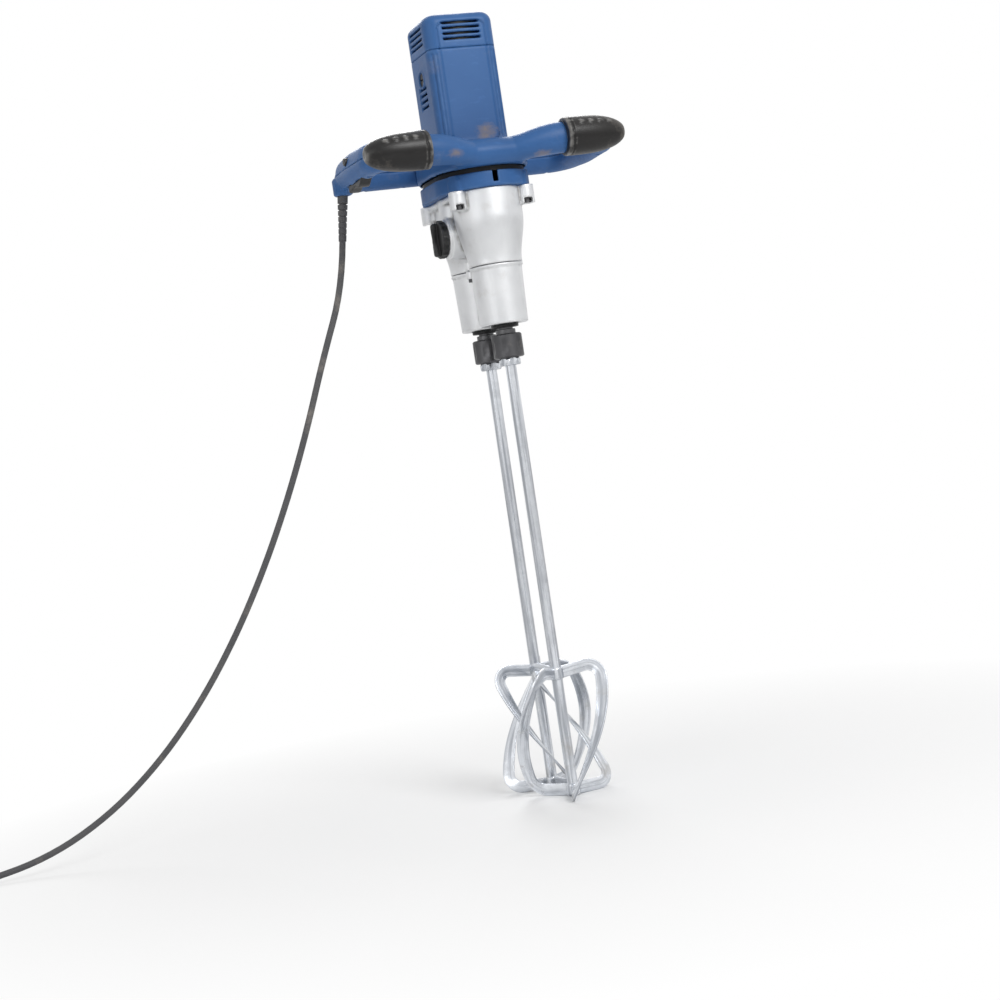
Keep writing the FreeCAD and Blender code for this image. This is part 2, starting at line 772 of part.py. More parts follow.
def trigger_pocket():
    reach = trigger_half + 0.5
    return block(-grip_x - reach, -grip_x + reach, trigger_front - 5, trigger_rear + 1.5,
                 bar_foot - 9, switch_foot)


def switch_pocket():
    reach = switch_half + 0.5
    return block(-grip_x - reach, -grip_x + reach, trigger_front, trigger_rear, switch_foot - 0.5,
                 switch_foot + switch_height + 0.5)


def trigger():
    foot = grip_height - trigger_drop
    top = foot + trigger_height
    outline = [V(0, trigger_front - 3, foot + 11), V(0, trigger_front + 8, foot + 2),
               V(0, trigger_front + 24, foot), V(0, trigger_rear - 8, foot + 1),
               V(0, trigger_rear, foot + 6), V(0, trigger_rear, top), V(0, trigger_front - 3, top)]
    face = Part.Face(Part.makePolygon(outline + outline[:1]))
    solid = face.extrude(V(2 * trigger_half, 0, 0)).translated(V(-grip_x - trigger_half, 0, 0))
    return solid.cut(trigger_pin(running_fit))


def trigger_pin(extra=0.0):
    reach = bar_half_width - 5
    return bar_along_x(pin_radius + extra, -grip_x - reach, -grip_x + reach, trigger_front + 2, pin_level)


bar_foot = grip_height - bar_half_height
pin_level = grip_height - 13.0
lock_level = grip_height + 8.0
switch_foot = grip_height + 3.0
switch_height = 10.5
switch_half = 8.5
relief_top = bar_foot - 4
relief_root = grip_height - 8.0


def lock_button(extra=0.0):
    outer = -grip_x - bar_half_width - lock_travel - 0.5
    return bar_along_x(lock_radius + extra, outer, outer + lock_length, lock_y, lock_level)


def handle_parts():
    bar = loop_bar()
    shell = bar.cut(stem())
    far_side = shell.mirror(V(0, 0, 0), V(1, 0, 0))
    exit_boss = rod(boss_round, relief_top, grip_height, relief_x, relief_y)
    drilled = rod(relief_radius + seat_gap, relief_top - 1, relief_root, relief_x, relief_y)
    gripped = shell.fuse(exit_boss)
    gripped = gripped.cut([trigger_pocket(), switch_pocket(), drilled, trigger_pin(seat_gap)])
    well_end = -grip_x - switch_half - 0.3
    well = bar_along_x(lock_radius + running_fit, -grip_x - bar_half_width - 5, well_end, lock_y, lock_level)
    gripped = gripped.cut(well)
    reach = 2 * grip_x
    thick = 2 * bar_half_height
    upper = block(-reach, reach, -reach, reach, grip_height, grip_height + thick)
    lower = block(-reach, reach, -reach, reach, grip_height - thick, grip_height)
    export("right_handle_upper", gripped.common(upper))
    export("right_handle_lower", gripped.common(lower))
    export("left_handle_upper", far_side.common(upper))
    export("left_handle_lower", far_side.common(lower))
    rubber = bumper(bar)
    export("right_bumper", rubber)
    export("left_bumper", rubber.mirror(V(0, 0, 0), V(1, 0, 0)))
    export("trigger", trigger())
    export("trigger_pin", trigger_pin())
    export("lock_button", lock_button())
    switch = block(-grip_x - switch_half, -grip_x + switch_half, trigger_front + 1, trigger_rear - 1,
                   switch_foot, switch_foot + switch_height)
    export("switch_module", switch)


# Selector on the side of the gear case
def selector_parts():
    z = case_top - knob_drop
    shaft = bar_along_x(selector_radius, -boss_reach - 4, -15, 0, z)
    export("selector_shaft", shaft)
    face = -boss_reach - loose_fit
    disc = bar_along_x(knob_radius, face - knob_thick, face, 0, z)
    rim = [edge for edge in disc.Edges if edge.BoundBox.XMax < face - knob_thick + 0.01]
    disc = disc.makeFillet(2.0, rim)
    front = face - knob_thick
    wing = block(front - knob_wing, front + 1, -5, 5, z - knob_radius + 3, z + knob_radius - 3)
    tips = [edge for edge in wing.Edges if abs(edge.tangentAt(edge.FirstParameter).x) > 0.9]
    wing = wing.makeFillet(4.5, tips)
    knob = disc.fuse(wing).cut(bar_along_x(selector_radius + seat_gap, -boss_reach - 4 - seat_gap, 0, 0, z))
    export("selector_knob", knob)


# Mains lead: strain relief, free stretch, coil of the spare length and plug
lean = math.radians(relief_lean)
relief_axis = V(-math.sin(lean), 0, -math.cos(lean))
relief_tip = V(relief_x, relief_y, relief_top) + relief_axis * relief_length
floor_lie = cord_radius + tie_thick + 0.4


# The lead hangs in a catenary from the strain relief to where it lies down, and swings back to the coil
def hanging_route():
    drop = relief_tip.z - floor_lie
    reach = lead_sag * math.acosh(1 + drop / lead_sag)
    length = lead_sag * math.sinh(reach / lead_sag)
    first_run = 0.6 * length / lead_runs
    points = [relief_tip, relief_tip + relief_axis * first_run]
    for index in range(1, lead_runs + 1):
        left = (length - first_run) * (1 - index / lead_runs)
        ahead = lead_sag * math.asinh(left / lead_sag)
        share = 1 - left / length
        swing = share ** 2 * (3 - 2 * share)
        points.append(V(relief_tip.x - reach + ahead, relief_y + (coil_y - relief_y) * swing,
                        floor_lie + lead_sag * (math.cosh(ahead / lead_sag) - 1)))
    points.append(V(coil_x, coil_y, floor_lie))
    return points


def strain_relief():
    root = rod(relief_radius, relief_top - 1, relief_root - 0.2)
    neck = cord_radius + 0.9
    sleeve = revolve([(0, -relief_length), (neck, -relief_length),
                      (relief_radius - 1.2, -0.5 * relief_length),
                      (relief_radius, -0.1 * relief_length), (relief_radius, 0), (0, 0)])
    grooves = []
    for index in range(6):
        z = 8 * (index + 1) - relief_length
        grooves.append(ring(relief_radius + 2, cord_radius + 0.6, z, z + 2.2))
    sleeve = sleeve.cut(grooves)
    sleeve.rotate(V(0, 0, 0), V(0, 1, 0), relief_lean)
    knee = Part.makeSphere(relief_radius + 0.3)
    bent = sleeve.fuse(knee).translated(V(0, 0, relief_top))
    above = block(-20, 20, -20, 20, relief_top, relief_top + 20)
    return bent.cut(above).fuse(root).translated(V(relief_x, relief_y, 0))


def rounded_route(points):
    edges = []
    last = points[0]
    for before, here, after in zip(points, points[1:], points[2:]):
        back = (before - here)
        ahead = (after - here)
        turn = math.pi - back.getAngle(ahead)
        cut = 0.45 * min(back.Length, ahead.Length)
        radius = cut / math.tan(turn / 2)
        print("cord radius %.0f at turn %.1f" % (radius, math.degrees(turn)))
        start = here + back.normalize() * cut
        end = here + ahead.normalize() * cut
        inward = (back + ahead).normalize()
        middle = here + inward * (radius / math.cos(turn / 2) - radius)
        edges.append(Part.LineSegment(last, start).toShape())
        edges.append(Part.Arc(start, middle, end).toShape())
        last = end
    edges.append(Part.LineSegment(last, points[-1]).toShape())
    return Part.Wire(edges)


def tube(path, start, direction):
    profile = Part.Wire(Part.makeCircle(cord_radius, start, direction))
    return path.makePipeShell([profile], True, False)


def cord_stretch():
    path = rounded_route(hanging_route())
    solid = tube(path, relief_tip, relief_axis)
    section = math.pi * cord_radius ** 2
    print("cord stretch length %.0f volume ratio %.4f" % (path.Length, solid.Volume / section / path.Length))
    return solid


def arc_between(start, heading, end):
    chord = end - start
    lean = heading.getAngle(chord)
    if lean < 1e-6:
        return Part.LineSegment(start, end).toShape()
    unit = V(chord).normalize()
    bulge = (heading - unit * heading.dot(unit)).normalize()
    middle = (start + end) * 0.5 + bulge * (chord.Length / 2 * math.tan(lean / 2))
    return Part.Arc(start, middle, end).toShape()


def biarc(start, heading, end, leaving):
    chord = end - start
    total = heading + leaving
    spread = 2 * (1 - heading.dot(leaving))
    reach = (-chord.dot(total) + math.sqrt(chord.dot(total) ** 2 + spread * chord.dot(chord))) / spread
    joint = (start + heading * reach + end - leaving * reach) * 0.5
    first = arc_between(start, heading, joint)
    second_heading = (end - leaving * reach - start - heading * reach).normalize()
    second = arc_between(joint, second_heading, end)
    return [first, second]


def coil_point(turns):
    whole = 2 * coil_turns + 0.5
    climb = min(1.0, max(0.0, (turns - coil_turns) / 0.5))
    wound = min(turns, coil_turns, whole - turns)
    radius = coil_outer - coil_pitch * wound
    angle = -math.pi / 2 - 2 * math.pi * turns
    centre = V(coil_x, coil_y + coil_outer, floor_lie)
    lift = coil_layer * (1 - math.cos(math.pi * climb)) / 2
    point = centre + V(radius * math.cos(angle), radius * math.sin(angle), lift)
    return point, V(math.sin(angle), -math.cos(angle), 0)


def cord_coil():
    quarters = int(round(4 * (2 * coil_turns + 0.5)))
    edges = []
    points = []
    for index in range(quarters):
        start, heading = coil_point(index / 4)
        end, leaving = coil_point((index + 1) / 4)
        edges += biarc(start, heading, end, leaving)
    end, leaving = coil_point(quarters / 4)
    edges.append(Part.LineSegment(end, end + leaving * lead_out).toShape())
    path = Part.Wire(edges)
    for edge in path.Edges:
        points += edge.discretize(Number=12)[:-1]
    least = min((points[i] - points[j]).Length for i in range(0, len(points))
                for j in range(i + 30, len(points)))
    solid = tube(path, V(coil_x, coil_y, floor_lie), V(-1, 0, 0))
    print("coil length %.0f least gap %.2f volume ratio %.4f" % (
        path.Length, least - 2 * cord_radius, solid.Volume / path.Length / math.pi / cord_radius ** 2))
    return solid, end + leaving * lead_out


# Strap round the coil on the far side of its centre
def coil_tie():
    inner = coil_outer - coil_pitch * coil_turns - cord_radius - 2
    outer = coil_outer - coil_pitch / 2 + cord_radius + 0.4
    foot = floor_lie - cord_radius - 0.3
    top = floor_lie + coil_layer + cord_radius + 0.4
    centre = coil_y + coil_outer
    band = block(coil_x - tie_half, coil_x + tie_half, centre + inner - tie_thick, centre + outer + tie_thick,
                 foot - tie_thick, top + tie_thick)
    return band.cut(block(coil_x - 20, coil_x + 20, centre + inner, centre + outer, foot, top))


def plug_parts(end):
    collar = bar_along_x(cord_radius + 2.5, end.x - 14, end.x, end.y, end.z)
    grip = Part.makeCone(9.5, 13.0, 24, V(end.x - 12, end.y, end.z), V(-1, 0, 0))
    face = end.x - plug_length
    front = bar_along_x(plug_radius, face, face + 12, end.y, end.z)
    half = floor_lie + coil_layer
    slab = block(face - 1, end.x, end.y - 30, end.y + 30, end.z - half, end.z + half)
    export("plug_body", collar.fuse([grip, front]).common(slab))
    pins = []
    for side in (-contact_pitch / 2, contact_pitch / 2):
        pins.append(bar_along_x(contact_radius, face - contact_length, face, end.y + side, end.z))
    export("plug_pins", Part.makeCompound(pins))
    print("plug face at", face, end.y, end.z - grip_height)


os.makedirs("parts", exist_ok=True)
make_output("front", front_y, 1, front_blade_phase, drive_top)
make_output("rear", rear_y, -1, rear_blade_phase, rear_gear_top)
export("spindle_bearings", spindle_bearings())
export("shaft_seals", shaft_seals())
export("gear_case_lower", lower_case())
export("gear_case_upper", upper_case())
export("case_screws", case_screws())
export("skirt_ring", skirt())
export("bearing_plate", bearing_plate())

# First reduction between motor and countershaft
to_front = math.atan2(front_y - counter_y, -counter_x)
to_motor = math.atan2(motor_y - counter_y, -counter_x)
from_front = to_front + math.pi
front_tooth = math.pi / 2
pitches = (from_front - front_tooth) / (2 * math.pi / spindle_teeth)
drive_phase = to_front + (pitches + 0.5) * 2 * math.pi / drive_teeth
pinion = gear(spindle_module, drive_teeth, drive_foot, drive_top, counter_radius, drive_phase)
export("countershaft_pinion", pinion.translated(V(counter_x, counter_y, 0)))
wheel = gear(input_module, input_teeth, input_foot, input_top, counter_radius, to_motor)
export("countershaft_gear", wheel.translated(V(counter_x, counter_y, 0)))
motor_phase = to_motor + math.pi + math.pi / motor_teeth
sun = gear(input_module, motor_teeth, input_foot, input_top, shaft_radius - 1, motor_phase)
export("motor_pinion", sun.translated(V(0, motor_y, 0)))
export("countershaft", rod(counter_radius, counter_foot, counter_top, counter_x, counter_y))
counter_rings = []
for foot in (floor_level - small_bearing_width, body_foot):
    top = foot + small_bearing_width
    bore = counter_radius + running_fit
    counter_rings.append(ring(small_bearing_outer, bore, foot, top, counter_x, counter_y))
export("countershaft_bearings", Part.makeCompound(counter_rings))
race_top = body_foot + lower_race_width
lower_race = ring(lower_race_outer, shaft_radius + running_fit, body_foot, race_top, 0, motor_y)
race_foot = cap_bearing + 7
upper_race = ring(upper_race_outer, shaft_radius - 1 + running_fit, race_foot, race_foot + upper_race_width,
                  0, motor_y)
export("armature_bearings", Part.makeCompound([lower_race, upper_race]))

export("motor_housing", motor_housing())
export("motor_cap", motor_cap())
export("armature_shaft", armature_shaft())
export("armature_core", armature_core())
export("commutator", commutator())
export("cooling_fan", fan())
export("stator_core", stator())
export("stator_coils", stator_coils())
export("stator_rings", stator_ring())
brush_holders, carbon_brushes, brush_caps = brush_parts()
export("brush_holders", brush_holders)
export("carbon_brushes", carbon_brushes)
export("brush_caps", brush_caps)
handle_parts()
selector_parts()
export("strain_relief", strain_relief())
export("cord_stretch", cord_stretch())
coil, coil_end = cord_coil()
export("cord_coil", coil)
export("coil_tie", coil_tie())
plug_parts(coil_end)
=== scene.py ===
import math

import bmesh
import bpy
import numpy as np
from mathutils import Matrix, Vector


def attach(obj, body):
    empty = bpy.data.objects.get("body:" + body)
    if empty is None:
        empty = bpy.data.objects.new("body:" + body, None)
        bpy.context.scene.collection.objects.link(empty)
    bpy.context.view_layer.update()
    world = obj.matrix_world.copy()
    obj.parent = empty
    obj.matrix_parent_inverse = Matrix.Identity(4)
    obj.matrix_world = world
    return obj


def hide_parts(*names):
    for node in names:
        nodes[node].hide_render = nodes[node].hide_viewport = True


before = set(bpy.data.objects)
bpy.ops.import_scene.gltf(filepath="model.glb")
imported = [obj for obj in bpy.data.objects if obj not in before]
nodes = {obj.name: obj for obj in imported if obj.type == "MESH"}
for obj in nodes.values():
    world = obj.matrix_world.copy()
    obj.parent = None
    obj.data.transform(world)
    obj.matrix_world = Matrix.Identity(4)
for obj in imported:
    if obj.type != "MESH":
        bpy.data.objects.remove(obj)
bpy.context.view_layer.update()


# Gear case: two aluminium castings with a lobe round each spindle, screwed together at a parting line.
# The castings are shot-blasted and lacquered silver, with mould radii at every inside corner.
spindle_y = 39.0
case_top, parting, case_foot = -50.0, -147.0, -225.0
knob_z = -102.0
counter_x, counter_y, counter_room = -31.84, 3.56, 16.3
lug_x, lug_y, lug_round, pocket_round = 47.0, 62.0, 11.0, 5.6
joint_x, joint_round = 22.0, 6.5
lobe_waist, lobe_swell, lobe_neck, lobe_foot = 35.2, 9.8, 33.8, 31.5
upper_web, lower_web = 18.0, 16.0
boss_round, boss_rim, counter_boss, counter_seat, selector_bore = 27.0, 24.5, 19.7, 8.1, 5.2
shaft_bore, bearing_bore, seal_bore, gear_room = 13.0, 21.1, 19.1, 42.3
dust_colour = (0.35, 0.31, 0.265)


def feed(tree, value, socket):
    """Links a socket to another, or sets it to a plain value."""
    if isinstance(value, bpy.types.NodeSocket):
        tree.links.new(value, socket)
    else:
        socket.default_value = value


def fill(tree, node, **wanted):
    """Feeds each input of a node by its name, with underscores for spaces."""
    for label, value in wanted.items():
        feed(tree, value, node.inputs[label.replace("_", " ")])
    return node


def add(tree, kind, **wanted):
    return fill(tree, tree.nodes.new(kind), **wanted)


def start_finish(name, metallic=0.0, specular=0.5):
    """Principled surface, with object coordinates so that a pattern stays on its piece."""
    material = bpy.data.materials.new(name)
    material.use_nodes = True
    tree = material.node_tree
    shader = fill(tree, tree.nodes["Principled BSDF"], Metallic=metallic, Specular_IOR_Level=specular)
    return material, tree, shader, add(tree, "ShaderNodeTexCoord").outputs["Object"]


def noise(tree, place, scale, detail=3.0, stretch=(1, 1, 1), rough=0.5):
    """Fractal noise in metres: scale is waves per metre, stretch slows it along an axis."""
    spread = add(tree, "ShaderNodeMapping", Vector=place, Scale=stretch)
    cloud = add(tree, "ShaderNodeTexNoise", Vector=spread.outputs["Vector"], Scale=scale, Detail=detail,
                Roughness=rough)
    return cloud.outputs["Fac"]


def ramp(tree, source, low, high, start=0.0, end=1.0):
    """Straight change from start to end while the source goes from low to high, held beyond."""
    change = add(tree, "ShaderNodeMapRange", Value=source, From_Min=low, From_Max=high,
                 To_Min=start, To_Max=end)
    return change.outputs["Result"]


def layered(tree, base, *coats):
    """Colour under coats of other colours, each given as its mask and its colour."""
    for mask, colour in coats:
        blend = tree.nodes.new("ShaderNodeMix")
        blend.data_type = "RGBA"
        sockets = [s for s in blend.inputs if s.type == "RGBA"]
        for socket, value in zip(sockets, (base, colour)):
            feed(tree, (*value, 1.0) if isinstance(value, tuple) else value, socket)
        fill(tree, blend, Factor=mask)
        base = [s for s in blend.outputs if s.type == "RGBA"][0]
    return base


def times(tree, first, second, how="MULTIPLY"):
    """Product of two values, or what else they are to make."""
    reckoned = tree.nodes.new("ShaderNodeMath")
    reckoned.operation = how
    for socket, value in zip(reckoned.inputs, (first, second)):
        feed(tree, value, socket)
    return reckoned.outputs["Value"]


def relief(tree, shader, height, depth):
    """Bump of the given depth in metres."""
    bump = add(tree, "ShaderNodeBump", Strength=1.0, Distance=depth, Height=height)
    fill(tree, shader, Normal=bump.outputs["Normal"])


def mask_group(name, amounts, masks):
    """Node group that takes amounts and a place and gives masks, with its inlets and its outlet node."""
    group = bpy.data.node_groups.new(name, "ShaderNodeTree")
    for label in amounts:
        group.interface.new_socket(label, in_out="INPUT", socket_type="NodeSocketFloat")
    group.interface.new_socket("Vector", in_out="INPUT", socket_type="NodeSocketVector")
    for label in masks:
        group.interface.new_socket(label, in_out="OUTPUT", socket_type="NodeSocketFloat")
    return group, group.nodes.new("NodeGroupInput").outputs, group.nodes.new("NodeGroupOutput")


def lay_mask(tree, group, place, **amounts):
    laid = tree.nodes.new("ShaderNodeGroup")
    laid.node_tree = group
    return fill(tree, laid, Vector=place, **amounts).outputs


def make_dust_group():
    """Dried dust in soft patches that break up into specks."""
    group, taken, given = mask_group("dried_dust", ("Amount", "Scale"), ("Dust",))
    patch = noise(group, taken["Vector"], taken["Scale"], 5.0, rough=0.62)
    fine = noise(group, taken["Vector"], 420.0, 2.0)
    cover = times(group, ramp(group, patch, 0.56, 0.72), ramp(group, fine, 0.35, 0.7, 0.45, 1.0))
    fill(group, given, Dust=times(group, cover, taken["Amount"]))
    return group


def make_edge_mark_group():
    """Outer edges painted pale, as wear from handling and on the rubber's pads as a painted highlight, and
    inner ones darkened as painted shade, by how sharply the surface bends, which each sculpted mesh carries
    as one value per corner."""
    group, taken, given = mask_group("edge_pale_and_hollow_shade", ("Rubbing", "Packing"), ("PaleEdge", "Shade"))
    bend = group.nodes.new("ShaderNodeAttribute")
    bend.attribute_name = "bend"
    torn = ramp(group, noise(group, taken["Vector"], 75, 4), 0.38, 0.62, 0.2, 1.0)
    for mask, amount, low, high in (("PaleEdge", "Rubbing", 0.10, 0.42), ("Shade", "Packing", -0.06, -0.36)):
        where = times(group, ramp(group, bend.outputs["Fac"], low, high), torn)
        fill(group, given, **{mask: times(group, where, taken[amount])})
    return group


dust_group, edge_mark_group = make_dust_group(), make_edge_mark_group()


def dust(tree, place, amount, scale):
    return lay_mask(tree, dust_group, place, Amount=amount, Scale=scale)["Dust"]


def edge_masks(tree, place, pale_amount, shade_amount):
    masks = lay_mask(tree, edge_mark_group, place, Rubbing=pale_amount, Packing=shade_amount)
    return masks["PaleEdge"], masks["Shade"]


def make_cast_finish():
    material, tree, shader, place = start_finish("cast_silver", metallic=0.62)
    cloud = noise(tree, place, 26, 4)
    streak = noise(tree, place, 60, 3, stretch=(1, 1, 0.12))
    # Outer edges are painted pale as wear, and hollows are painted dark as painted shade.
    pale_edge, hollow_shade = edge_masks(tree, place, 0.6, 0.85)
    base = layered(tree, (0.69, 0.70, 0.715), (ramp(tree, cloud, 0.35, 0.7), (0.77, 0.78, 0.79)),
                   (ramp(tree, streak, 0.55, 0.8, 0.0, 0.35), (0.55, 0.56, 0.57)),
                   (dust(tree, place, 0.5, 18.0), dust_colour),
                   (pale_edge, (0.86, 0.865, 0.87)), (hollow_shade, (0.20, 0.19, 0.18)))
    fill(tree, shader, Base_Color=base, Roughness=ramp(tree, cloud, 0.3, 0.7, 0.36, 0.46))
    relief(tree, shader, noise(tree, place, 1500, 2), 0.00012)
    return material


def joined(first, second, fillet):
    """Distance to two solids together, with a fillet between them."""
    share = np.clip(0.5 + 0.5 * (second - first) / fillet, 0, 1)
    return second + (first - second) * share - fillet * share * (1 - share)


def cut_away(first, second, fillet):
    return -joined(-first, second, fillet)


def kept_within(first, second, fillet):
    return -joined(-first, -second, fillet)


def extruded(outline, along, start, end, edge):
    """Outline distance swept along one axis from start to end, with its rims rounded by edge."""
    side = outline + edge
    cap = np.abs(along - (start + end) / 2) - (end - start) / 2 + edge
    return np.minimum(np.maximum(side, cap), 0) + np.hypot(np.maximum(side, 0), np.maximum(cap, 0)) - edge


def post(p, x, y, radius, foot, top, edge=1.0):
    return extruded(np.hypot(p[:, 0] - x, p[:, 1] - y) - radius, p[:, 2], foot, top, edge)


def cross_post(p, y, z, radius, start, end, edge=1.0):
    return extruded(np.hypot(p[:, 1] - y, p[:, 2] - z) - radius, p[:, 0], start, end, edge)


def slab(p, low, high, edge=1.0):
    low, high = np.asarray(low, float), np.asarray(high, float)
    gap = np.abs(p - (low + high) / 2) - (high - low) / 2 + edge
    return np.linalg.norm(np.maximum(gap, 0), axis=1) + np.minimum(gap.max(1), 0) - edge


def folded(p, middle=0.0):
    """Places folded onto one quarter, so that what is made there stands in all four."""
    return np.stack([np.abs(p[:, 0]), np.abs(p[:, 1] - middle), p[:, 2]], 1)


def smooth_step(share):
    """Rise from 0 to 1 with level ends, 3 s^2 - 2 s^3, held beyond."""
    share = np.clip(share, 0, 1)
    return share * share * (3 - 2 * share)


def lobes(p, reach, foot, top, edge, fillet):
    """A round column about each spindle, with its reach at each height, joined where the two meet."""
    x, y, z = p.T
    column = lambda side: extruded(np.hypot(x, y - side) - reach, z, foot, top, edge)
    return joined(column(-spindle_y), column(spindle_y), fillet)


def upper_case(p):
    z = p[:, 2]
    far = folded(p)
    reach = lobe_waist + lobe_swell * smooth_step((z - parting - 2.0) / (case_top - parting - 37.0))
    shape = lobes(p, reach, parting, case_top, 1.0, 2.0)
    shape = joined(shape, slab(p, (-upper_web, -spindle_y, parting), (upper_web, spindle_y, case_top)), 2.0)
    boss = cross_post(p, 0, knob_z, boss_round, -49.0, -6.0)
    boss = joined(boss, cross_post(p, 0, knob_z, boss_rim, -52.0, -6.0, 0.6), 0.8)
    shape = joined(shape, boss, 3.0)
    shape = joined(shape, post(p, counter_x, counter_y, counter_boss, knob_z, case_top), 2.5)
    lug = post(far, lug_x, lug_y, lug_round, case_top - 24, case_top, 1.2)
    lug = joined(lug, slab(far, (16, 48, case_top - 20), (lug_x, lug_y, case_top), 1.5), 3.0)
    lug = joined(lug, slab(far, (26, 0, case_top - 8), (50, lug_y, case_top), 1.5), 3.0)
    shape = joined(shape, lug, 3.0)
    shape = joined(shape, post(far, joint_x, 0.0, joint_round, parting, parting + 12), 3.0)
    shape = kept_within(shape, np.maximum(parting - z, z - case_top), 0.6)
    pocket_foot, pocket_top = case_top - 30, case_top - 17
    pocket = post(far, lug_x, lug_y, pocket_round, pocket_foot, pocket_top, 0.3)
    outward = slab(far, (lug_x - pocket_round, lug_y, pocket_foot),
                   (lug_x + pocket_round, lug_y + 20, pocket_top))
    shape = cut_away(shape, np.minimum(pocket, outward), 0.6)
    for hole in (post(far, 0, spindle_y, gear_room, -85.0, -40.0),
                 post(far, 0, spindle_y, bearing_bore, -101.1, -80.0, 0.2),
                 post(far, 0, spindle_y, shaft_bore, -160.0, -80.0, 0.2),
                 post(p, counter_x, counter_y, counter_room, -72.0, -40.0),
                 post(p, counter_x, counter_y, counter_seat, -93.1, -40.0, 0.2),
                 cross_post(p, 0, knob_z, selector_bore, -70.0, -13.0, 0.2)):
        shape = cut_away(shape, hole, 0.4)
    return shape


def lower_case(p):
    z = p[:, 2]
    far = folded(p)
    reach = np.interp(z, (case_foot, parting), (lobe_foot, lobe_neck))
    shape = lobes(p, reach, case_foot, parting, 1.6, 3.0)
    web = slab(p, (-lower_web, -spindle_y, case_foot + 8), (lower_web, spindle_y, parting))
    shape = joined(shape, web, 3.0)
    shape = joined(shape, post(far, 0, spindle_y, lobe_waist, parting - 4.0, parting, 0.8), 1.0)
    shape = joined(shape, post(far, joint_x, 0.0, joint_round, parting - 11, parting), 3.0)
    shape = kept_within(shape, np.maximum(case_foot - z, z - parting + 0.7), 0.6)
    for radius, foot, top in ((shaft_bore, -240.0, -140.0), (seal_bore, -240.0, case_foot + 8.0),
                              (bearing_bore, case_foot + 15, -140.0)):
        shape = cut_away(shape, post(far, 0, spindle_y, radius, foot, top, 0.2), 0.4)
    return shape


def put(name, points, faces):
    """Smooth mesh from arrays of points in millimetres and of faces."""
    mesh = bpy.data.meshes.new(name)
    mesh.from_pydata(np.asarray(points, float).reshape(-1, 3) * 0.001, [], faces, shade_flat=False)
    mesh.validate()
    piece = bpy.data.objects.new(name, mesh)
    bpy.context.scene.collection.objects.link(piece)
    return piece


def sculpt(name, field, low, high, step):
    """Surface where a distance field is zero, which gives cast and moulded pieces soft inside corners.
    Blocks of cells near it are found first; one corner goes in each cell that the surface crosses, at the
    mean of its crossings, and is drawn onto the surface. Its bend is the field's Laplacian over its slope,
    from differences over bend_step: 1 / radius, minus if hollow, evened out over the neighbouring faces."""
    block, probe, bend_step, most_bend = 4, 0.05, 1.2, 1.2
    low = np.asarray(low, float) - 2 * step
    blocks = np.ceil((np.asarray(high, float) + 2 * step - low) / (block * step)).astype(int)
    counts = blocks * block
    axes = [low[i] + step * (np.arange(counts[i]) + 0.5) for i in range(3)]
    middles = [low[i] + block * step * (np.arange(blocks[i]) + 0.5) for i in range(3)]
    coarse = field(np.stack(np.meshgrid(*middles, indexing="ij"), -1).reshape(-1, 3)).reshape(blocks)
    near = np.abs(coarse) < block * step * 1.9
    spread = lambda a: a.repeat(block, 0).repeat(block, 1).repeat(block, 2)
    values = np.where(spread(coarse) < 0, -1.0, 1.0) * 2 * block * step
    place = np.nonzero(spread(near))
    values[place] = field(np.stack([axes[i][place[i]] for i in range(3)], 1))
    inside = values < 0
    shift = [(i, j, k) for i in (0, 1) for j in (0, 1) for k in (0, 1)]
    part = lambda a, s: a[tuple(slice(s[i], counts[i] - 1 + s[i]) for i in range(3))]
    total = sum(part(inside, s).astype(np.int8) for s in shift)
    cells = np.nonzero((total > 0) & (total < 8))
    number = np.full(counts - 1, -1, np.int32)
    number[cells] = np.arange(len(cells[0]))
    corner = np.stack([part(values, s)[cells] for s in shift], 1)
    offset = np.array(shift, float)
    summed, hits = np.zeros((len(cells[0]), 3)), np.zeros(len(cells[0]))
    for a in range(8):
        for b in range(a + 1, 8):
            if np.abs(offset[a] - offset[b]).sum() == 1:
                crossed = (corner[:, a] < 0) != (corner[:, b] < 0)
                share = np.where(crossed, corner[:, a] / np.where(crossed, corner[:, a] - corner[:, b], 1), 0)
                summed += crossed[:, None] * (offset[a] + share[:, None] * (offset[b] - offset[a]))
                hits += crossed
    origin = np.stack([axes[i][cells[i]] for i in range(3)], 1)
    points = origin + step * summed / hits[:, None]
    for _ in range(3):
        here = field(points)
        slope = np.stack([field(points + d) - field(points - d) for d in np.eye(3) * probe], 1) / (2 * probe)
        move = here[:, None] * slope / np.maximum((slope ** 2).sum(1), 0.25)[:, None]
        points -= np.clip(move, -0.6 * step, 0.6 * step)
    faces = []
    for axis in range(3):
        lower = tuple(slice(0, -1) if i == axis else slice(1, -1) for i in range(3))
        upper = tuple(slice(1, None) if i == axis else slice(1, -1) for i in range(3))
        change = np.nonzero(inside[lower] != inside[upper])
        base = np.array(change) + (np.arange(3) != axis)[:, None]
        quad = []
        for back in ((1, 1), (0, 1), (0, 0), (1, 0)):
            at = base.copy()
            at[[(axis + 1) % 3, (axis + 2) % 3]] -= np.array(back)[:, None]
            quad.append(number[tuple(at)])
        quad = np.stack(quad, 1)
        faces.append(np.where(inside[lower][change][:, None], quad, quad[:, ::-1]))
    faces = np.concatenate(faces)
    piece = put(name, points, faces)
    around = sum(field(points + d) + field(points - d) for d in np.eye(3) * bend_step)
    bend = (around - 6 * field(points)) / (bend_step ** 2 * np.maximum(np.linalg.norm(slope, axis=1), 0.5))
    bend = np.clip(bend, -most_bend, most_bend)
    uses = np.bincount(faces.ravel(), minlength=len(points))
    for _ in range(3):
        bend = np.bincount(faces.ravel(), bend[faces].mean(1).repeat(4), len(points)) / uses
    piece.data.attributes.new("bend", "FLOAT", "POINT").data.foreach_set("value", bend.astype(np.float32))
    return piece


